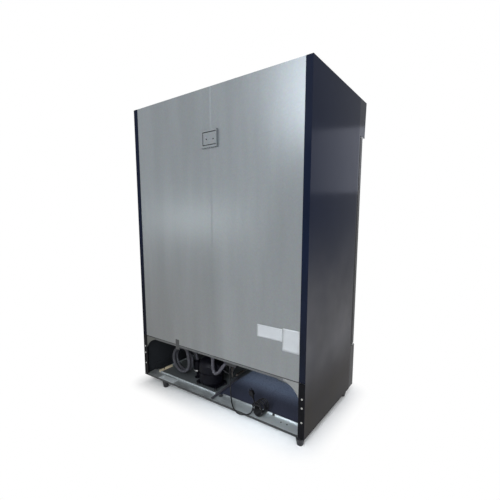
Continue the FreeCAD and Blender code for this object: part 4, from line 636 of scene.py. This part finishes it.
# Power cord: its free run, then loops that stand on the ledge and differ in height and lean
CORD_R = 0.004
CORD_ROUNDNESS = 4
CORD_SMOOTHNESS = 6
CORD_ROUTE = [(-0.088, 0.300, 0.268), (-0.088, 0.300, 0.212), (-0.094, 0.306, 0.152), (-0.112, 0.324, 0.110),
              (-0.142, 0.357, 0.098), (-0.178, 0.394, 0.094), (-0.212, 0.420, 0.082), (-0.250, 0.424, 0.066),
              (-0.288, 0.414, 0.069), (-0.313, 0.402, 0.0755), (-0.3290, 0.3945, 0.0905)]
HANK_LOOPS = 6
HANK_SPACING = 0.0096
HANK_DEPTH = (HANK_LOOPS + 1) * HANK_SPACING
HANK_FOLD_R = 0.030
HANK_X = -0.365
HANK_Y = BACK_FACE - 0.010
HANK_LOW = LEDGE_TOP + FIT + CORD_R + HANK_FOLD_R
HANK_RUN = 0.0135
HANK_RISE = 0.018
HANK_LEAN = 0.009
RISE_BEAT = 2.3
LEAN_BEAT = 1.9
HANK_STEP = 0.013
ARC_STEP = math.radians(5)
SAME_PLACE = 1e-9
PLUG_DIR = Vector((0.40, 0, 0.92)).normalized()
PLUG_RUN = 0.020
PLUG_BEND = 0.040
PLUG_STEM = 0.040


def hank_loop(k):
    """Where loop k's upper fold is centred, from the lower fold's centre: towards +X and up."""
    over = HANK_LEAN * math.sin(LEAN_BEAT * k)
    up = HANK_RUN + HANK_RISE * math.sin(RISE_BEAT * k) ** 2
    return over, up


def arc(centre, radius, first, last):
    """Close points on an arc in the XZ plane, angles from +X towards +Z."""
    steps = max(2, round((last - first) / ARC_STEP))
    angles = [first + (last - first) * j / steps for j in range(steps + 1)]
    return [centre + Vector((radius * math.cos(angle), 0, radius * math.sin(angle))) for angle in angles]


def lengths(path):
    """How far along the path each of its points lies."""
    reach = [0.0]
    for here, ahead in zip(path, path[1:]):
        reach.append(reach[-1] + (ahead - here).length)
    return reach


def evenly(path, step):
    """Points along a path at even steps of about this length, both ends included."""
    reach = lengths(path)
    count = round(reach[-1] / step)
    points = []
    i = 0
    for j in range(count + 1):
        wanted = reach[-1] * j / count
        while i < len(path) - 2 and reach[i + 1] < wanted:
            i += 1
        share = (wanted - reach[i]) / max(reach[i + 1] - reach[i], SAME_PLACE)
        points.append(path[i].lerp(path[i + 1], share))
    return points


def hank_points():
    """Control points of the loose upright loops, which stand on the ledge and wind forwards to the plug."""
    low = Vector((HANK_X, HANK_Y, HANK_LOW))
    path = []
    for k in range(HANK_LOOPS + 1):
        over, up = hank_loop(k)
        tip = math.atan2(over, up)
        path += arc(low + Vector((over, 0, up)), HANK_FOLD_R, -tip, math.pi - tip)
        ahead = math.pi / 2 if k == HANK_LOOPS else math.atan2(*hank_loop(k + 1))
        path += arc(low, HANK_FOLD_R, math.pi - tip, 2 * math.pi - ahead)
    reach = lengths(path)
    path = [point - Vector((0, HANK_DEPTH * run / reach[-1], 0)) for point, run in zip(path, reach)]
    bend = path[-1] + Vector((PLUG_RUN, 0, PLUG_BEND))
    path += arc(bend, PLUG_BEND, -math.pi / 2, math.acos(PLUG_DIR.x) - math.pi / 2)
    return evenly(path + [path[-1] + PLUG_DIR * PLUG_STEM], HANK_STEP)


def power_cord():
    """The lead from the cabinet's gland to its plug, on one spline."""
    data = bpy.data.curves.new("mains_lead", "CURVE")
    data.dimensions = "3D"
    data.bevel_depth = CORD_R
    data.bevel_resolution = CORD_ROUNDNESS
    data.use_fill_caps = True
    points = CORD_ROUTE + hank_points()
    spline = data.splines.new("NURBS")
    spline.points.add(len(points) - 1)
    for target, point in zip(spline.points, points):
        target.co = (*point, 1.0)
    spline.order_u = 3
    spline.use_endpoint_u = True
    spline.resolution_u = CORD_SMOOTHNESS
    data.materials.append(SLOTS["black_cord"])
    cord = add_object("mains_lead", data)
    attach(cord, CABINET)
    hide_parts("power_cord", "cord_hank")
    return cord


# Tie round the hank
TIE_PITCH = HANK_DEPTH / (HANK_LOOPS + 0.75)
TIE_OUT = 0.001
TIE_UP = 0.002
TIE_CLEAR = 0.0022
TIE_HALF = 0.004
TIE_SHEET = 0.0009
TIE_STEP = 30


def hank_tie():
    """A flat tie drawn round the far runs, just above their lower folds."""
    x = HANK_X - HANK_FOLD_R - TIE_OUT
    y0 = HANK_Y - TIE_PITCH / 2
    y1 = y0 - HANK_LOOPS * TIE_PITCH
    reach = CORD_R + TIE_CLEAR
    middle = HANK_LOW + TIE_UP
    rows = []
    for z in (middle - TIE_HALF, middle, middle + TIE_HALF):
        ring = []
        for centre, first in ((y0, 0), (y1, 180)):
            for degrees in range(first, first + 181, TIE_STEP):
                angle = math.radians(degrees)
                ring.append((x + reach * math.cos(angle), centre + reach * math.sin(angle), z))
        rows.append(ring + ring[:1])
    return sheet_piece("cord_tie", rows, TIE_SHEET, SLOTS["black_plastic"])


# Labels: from X to X and from Z to Z, on a grid of columns and lines
LABELS = {
    "bare_label_wide": ((-0.368, -0.534), (0.576, 0.648)),
    "bare_label_tall": ((-0.536, -0.637), (0.527, 0.654)),
}
LABEL_GRID = (12, 10)
LABEL_SHEET = 0.0002
LABEL_OFF = 0.0003
LABEL_LIFT = 0.0006
LABEL_CORNER = 0.25


def label(name, across, upright):
    """A bare paper label stuck to the panel, one corner slightly lifted."""
    (x0, x1), (z0, z1) = across, upright
    columns, lines = LABEL_GRID
    rows = []
    for j in range(lines + 1):
        row = []
        for i in range(columns + 1):
            u, v = i / columns, j / lines
            lift = LABEL_LIFT * max(0.0, u + v - 2 + LABEL_CORNER) / LABEL_CORNER
            row.append((x0 + (x1 - x0) * u, PANEL_FACE + LABEL_OFF + lift, z0 + (z1 - z0) * v))
        rows.append(row)
    return sheet_piece(name, rows, LABEL_SHEET, PAPER)


# Foil tab: from X to X, from its top down, on a grid of columns and lines
FOIL_X = (0.284, 0.320)
FOIL_Z = (0.411, 0.338)
FOIL_GRID = (8, 14)
FOIL_SHEET = 0.0002
FOIL_OFF = 0.0004
FOIL_CURL = 2.2
FOIL_RIPPLE = 0.0003
FOIL_BEATS = (2.1, 9.0)


def foil_tab():
    """Aluminium tape stuck over the panel's lower edge, its free end curling in."""
    (x0, x1), (z0, z1) = FOIL_X, FOIL_Z
    columns, lines = FOIL_GRID
    beat_across, beat_down = FOIL_BEATS
    rows = []
    for j in range(lines + 1):
        z = z0 + (z1 - z0) * j / lines
        hang = max(0.0, PANEL_FOOT - z)
        y = PANEL_FACE + FOIL_OFF - FOIL_CURL * hang * hang
        row = []
        for i in range(columns + 1):
            ripple = FOIL_RIPPLE * math.sin(beat_down * j) * math.sin(beat_across * i)
            row.append((x0 + (x1 - x0) * i / columns, y + ripple, z))
        rows.append(row)
    return sheet_piece("foil_tab", rows, FOIL_SHEET, SHADED_FOIL)


# Ledge clip: its line across the upstand, as offsets in Y and Z
CLIP_X = -0.442
CLIP_W = 0.016
CLIP_TOP = LEDGE_TOP + 0.010
CLIP_SHEET = 0.0012
CLIP_LINE = [(-0.0012, -0.0060), (-0.0012, 0.0008), (0.0010, 0.0022), (0.0032, 0.0008), (0.0034, -0.0060),
             (0.0090, -0.0085), (0.0110, -0.0060)]


def ledge_clip():
    """A small black cable clip pushed over the rail's upstand, with a hooked lip."""
    rows = []
    for x in (CLIP_X, CLIP_X + CLIP_W / 2, CLIP_X + CLIP_W):
        rows.append([(x, UPSTAND_Y + back, CLIP_TOP + up) for back, up in CLIP_LINE])
    return sheet_piece("ledge_clip", rows, CLIP_SHEET, SLOTS["black_plastic"])


# Screws: places on the face that each kind sits on, and head radius
COVER_SCREWS = ((-0.014, 1.699), (-0.066, 1.696))
COVER_SCREW_R = 0.0040
LEDGE_SCREWS = ((-0.505, 0.350), (-0.545, 0.350))
LEDGE_SCREW_R = 0.0050
POST_SCREW_X = 0.660
POST_SCREW_HEIGHTS = (0.285, 0.234, 0.151)
POST_SCREW_R = 0.0055


def screws():
    for k, (x, z) in enumerate(COVER_SCREWS):
        screw("cover_screw_%d" % k, (x, COVER_FACE, z), BACKWARDS, COVER_SCREW_R)
    for k, (x, y) in enumerate(LEDGE_SCREWS):
        screw("ledge_screw_%d" % k, (x, y, LEDGE_TOP), UPWARDS, LEDGE_SCREW_R)
    for side in (-1, 1):
        for k, z in enumerate(POST_SCREW_HEIGHTS):
            at = (side * POST_SCREW_X, POST_FACE, z)
            screw("post_screw_%d_%d" % (side + 1, k), at, BACKWARDS, POST_SCREW_R, ZINC_SCREW)


def back_trim():
    for name, (across, upright) in LABELS.items():
        label(name, across, upright)
    foil_tab()
    ledge_clip()
    screws()


# Details of the machine compartment
FOAM_AT = Vector((0.038, 0.330, COMPARTMENT_TOP - 0.0002))
FOAM_RADII = Vector((0.026, 0.024, 0.016))
FOAM_FINENESS = 4
ACCUMULATOR_R = 0.027
BAND_Z = 0.130
BAND_STEPS = 36
RAIL_PLUG_AT = (-0.032, UPSTAND_Y + 0.018, LEDGE_TOP)
RAIL_PLUG_STEPS = 28

# Closed outline of the band: how far it stands off the accumulator, and height
BAND_LINE = [(0.0002, 0), (0.0016, 0), (0.0016, 0.0012), (0.0009, 0.0020), (0.0009, 0.0060), (0.0016, 0.0068),
             (0.0016, 0.0080), (0.0002, 0.0080), (0.0002, 0)]

# Half outline of the rail plug: radius and height
RAIL_PLUG_LINE = [(0, 0), (0.014, 0), (0.014, 0.0020), (0.011, 0.0034), (0.009, 0.0080), (0.005, 0.0080),
                  (0.004, 0.0050), (0, 0.0046)]


def sealing_foam():
    """The foam that was squirted round the drain where it leaves the cabinet floor."""
    build = bmesh.new()
    bmesh.ops.create_icosphere(build, subdivisions=FOAM_FINENESS, radius=1.0)
    for vertex in build.verts:
        way = vertex.co.normalized()
        lobes = 0.16 * math.sin(4.1 * way.x + 1.0) * math.cos(5.3 * way.y)
        knobs = 0.10 * math.sin(9.0 * way.z + 3.0 * way.x)
        vertex.co = FOAM_RADII * way * (1 + lobes + knobs)
        vertex.co.z = min(vertex.co.z, 0.0)
    build.transform(Matrix.Translation(FOAM_AT))
    return new_piece("sealing_foam", build, SEALANT, SOFT_EDGE)


def accumulator_band():
    """A beaded steel strap round the lower part of the accumulator."""
    low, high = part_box("accumulator")
    at = Vector((high[0] - ACCUMULATOR_R, low[1] + ACCUMULATOR_R, BAND_Z))
    profile = [(ACCUMULATOR_R + off, up) for off, up in BAND_LINE]
    return lathe("accumulator_band", profile, at, UPWARDS, STEEL_BAND, BAND_STEPS)


def rail_plug():
    """A flanged rubber plug in the rail's ledge, beside the tray's inner edge."""
    rubber = SLOTS["soft_rubber"]
    return lathe("rail_plug", RAIL_PLUG_LINE, RAIL_PLUG_AT, UPWARDS, rubber, RAIL_PLUG_STEPS)


def compartment_details():
    sealing_foam()
    accumulator_band()
    rail_plug()


# Stage
FLOOR_SIZE = 12.0
SHADOW_INSET = Vector((0.06, 0.06, 0))
SHADOW_REACH = 0.19
SURROUND_LIGHT = 0.5
ALL_ROUND = math.pi
NARROW = math.radians(40)

# Lamps: place, aim, width and height in metres, power in watts, colour and spread
LAMPS = {
    "window": ((0.36, 3.2, 2.90), (-0.5, 0.4, 1.7), (1.2, 1.2), 25.0, (0.93, 0.97, 1.0), ALL_ROUND),
    "glow": ((2.5, 3.0, 1.26), (0.0, 0.4, 1.24), (1.3, 0.42), 4.0, (0.95, 1.0, 0.97), ALL_ROUND),
    "low": ((-0.9, 2.1, 1.30), (-0.22, 0.0, 0.07), (0.7, 0.7), 2.9, (0.82, 0.91, 1.0), NARROW),
    "fill": ((-1.5, 2.45, 1.4), (-0.1, 0.2, 0.10), (2.4, 2.4), 32.0, (0.97, 0.99, 1.0), ALL_ROUND),
    "front": ((0.6, -3.0, 1.3), (0.0, -0.4, 0.6), (2.2, 2.2), 42.0, (0.97, 0.98, 1.0), ALL_ROUND),
    "side": ((-1.9, -2.9, 2.1), (-0.7, 0.0, 1.5), (0.9, 0.9), 5.0, (0.80, 0.84, 1.0), ALL_ROUND),
}


def seen_directly(tree):
    """1 for rays from the camera, a glossy surface or glass, 0 for the light that falls on things."""
    path = tree.nodes.new("ShaderNodeLightPath")
    total = path.outputs["Is Camera Ray"]
    for name in ("Is Glossy Ray", "Is Transmission Ray"):
        made = tree.nodes.new("ShaderNodeMath")
        made.operation = "MAXIMUM"
        tree.links.new(total, made.inputs[0])
        tree.links.new(path.outputs[name], made.inputs[1])
        total = made.outputs["Value"]
    return total


def from_shadow(made):
    """How far a point of the floor lies outside the object's footprint, drawn in a little."""
    middle = (LOW + HIGH) / 2
    half = (HIGH - LOW) / 2 - SHADOW_INSET
    reach = made.coords
    for operation, value in (("SUBTRACT", (middle.x, middle.y, 0)), ("ABSOLUTE", None),
                             ("SUBTRACT", (half.x, half.y, 0)), ("MAXIMUM", (0, 0, 0)), ("LENGTH", None)):
        step = made.node("ShaderNodeVectorMath", operation=operation)
        made.link(reach, step.inputs[0])
        if value:
            step.inputs[1].default_value = value
        reach = step.outputs["Value" if operation == "LENGTH" else "Vector"]
    return reach


def studio_floor():
    """Pale paper that turns to the white of the surround away from the object's own shadow."""
    made = Shader("floor_paper", specular=0.1)
    made.set("Roughness", 0.85)
    grain = made.noise(30.0)
    made.colour(made.ramp(grain, [(0.3, (0.90, 0.90, 0.90)), (0.7, (0.94, 0.94, 0.94))]))
    away = made.rising(from_shadow(made), 0.0, SHADOW_REACH)
    white = made.node("ShaderNodeEmission", Strength=1.0)
    blend = made.node("ShaderNodeMixShader")
    made.link(made.both(away, seen_directly(made.tree)), blend.inputs["Fac"])
    made.link(made.shader.outputs["BSDF"], blend.inputs[1])
    made.link(white.outputs["Emission"], blend.inputs[2])
    made.link(blend.outputs["Shader"], made.tree.nodes["Material Output"].inputs["Surface"])
    return made.material


def set_surround():
    """A white surround to look at, and a softer even light from it."""
    world = bpy.data.worlds.new("surround")
    bpy.context.scene.world = world
    world.use_nodes = True
    surround = world.node_tree.nodes["Background"]
    surround.inputs["Color"].default_value = (1.0, 1.0, 1.0, 1.0)
    level = world.node_tree.nodes.new("ShaderNodeMapRange")
    level.inputs["To Min"].default_value = SURROUND_LIGHT
    level.inputs["To Max"].default_value = 1.0
    world.node_tree.links.new(seen_directly(world.node_tree), level.inputs["Value"])
    world.node_tree.links.new(level.outputs["Result"], surround.inputs["Strength"])


def area_light(name, at, target, size, energy, colour, spread):
    data = bpy.data.lights.new(name, "AREA")
    data.spread = spread
    data.shape = "RECTANGLE"
    data.size, data.size_y = size
    data.energy = energy
    data.color = colour
    light = add_object(name, data)
    light.location = at
    light.rotation_euler = (Vector(target) - Vector(at)).to_track_quat("-Z", "Y").to_euler()


def set_stage():
    """A pale floor, a white surround and soft lights."""
    build = bmesh.new()
    bmesh.ops.create_grid(build, x_segments=2, y_segments=2, size=FLOOR_SIZE)
    floor = add_object("floor", to_mesh("floor", build))
    floor.data.materials.append(studio_floor())
    set_surround()
    for name, values in LAMPS.items():
        area_light(name, *values)


dress_frame()
set_camera()
LEAD = power_cord()
TIE = hank_tie()
back_trim()
compartment_details()
set_stage()
bpy.context.scene.view_settings.view_transform = "Standard"
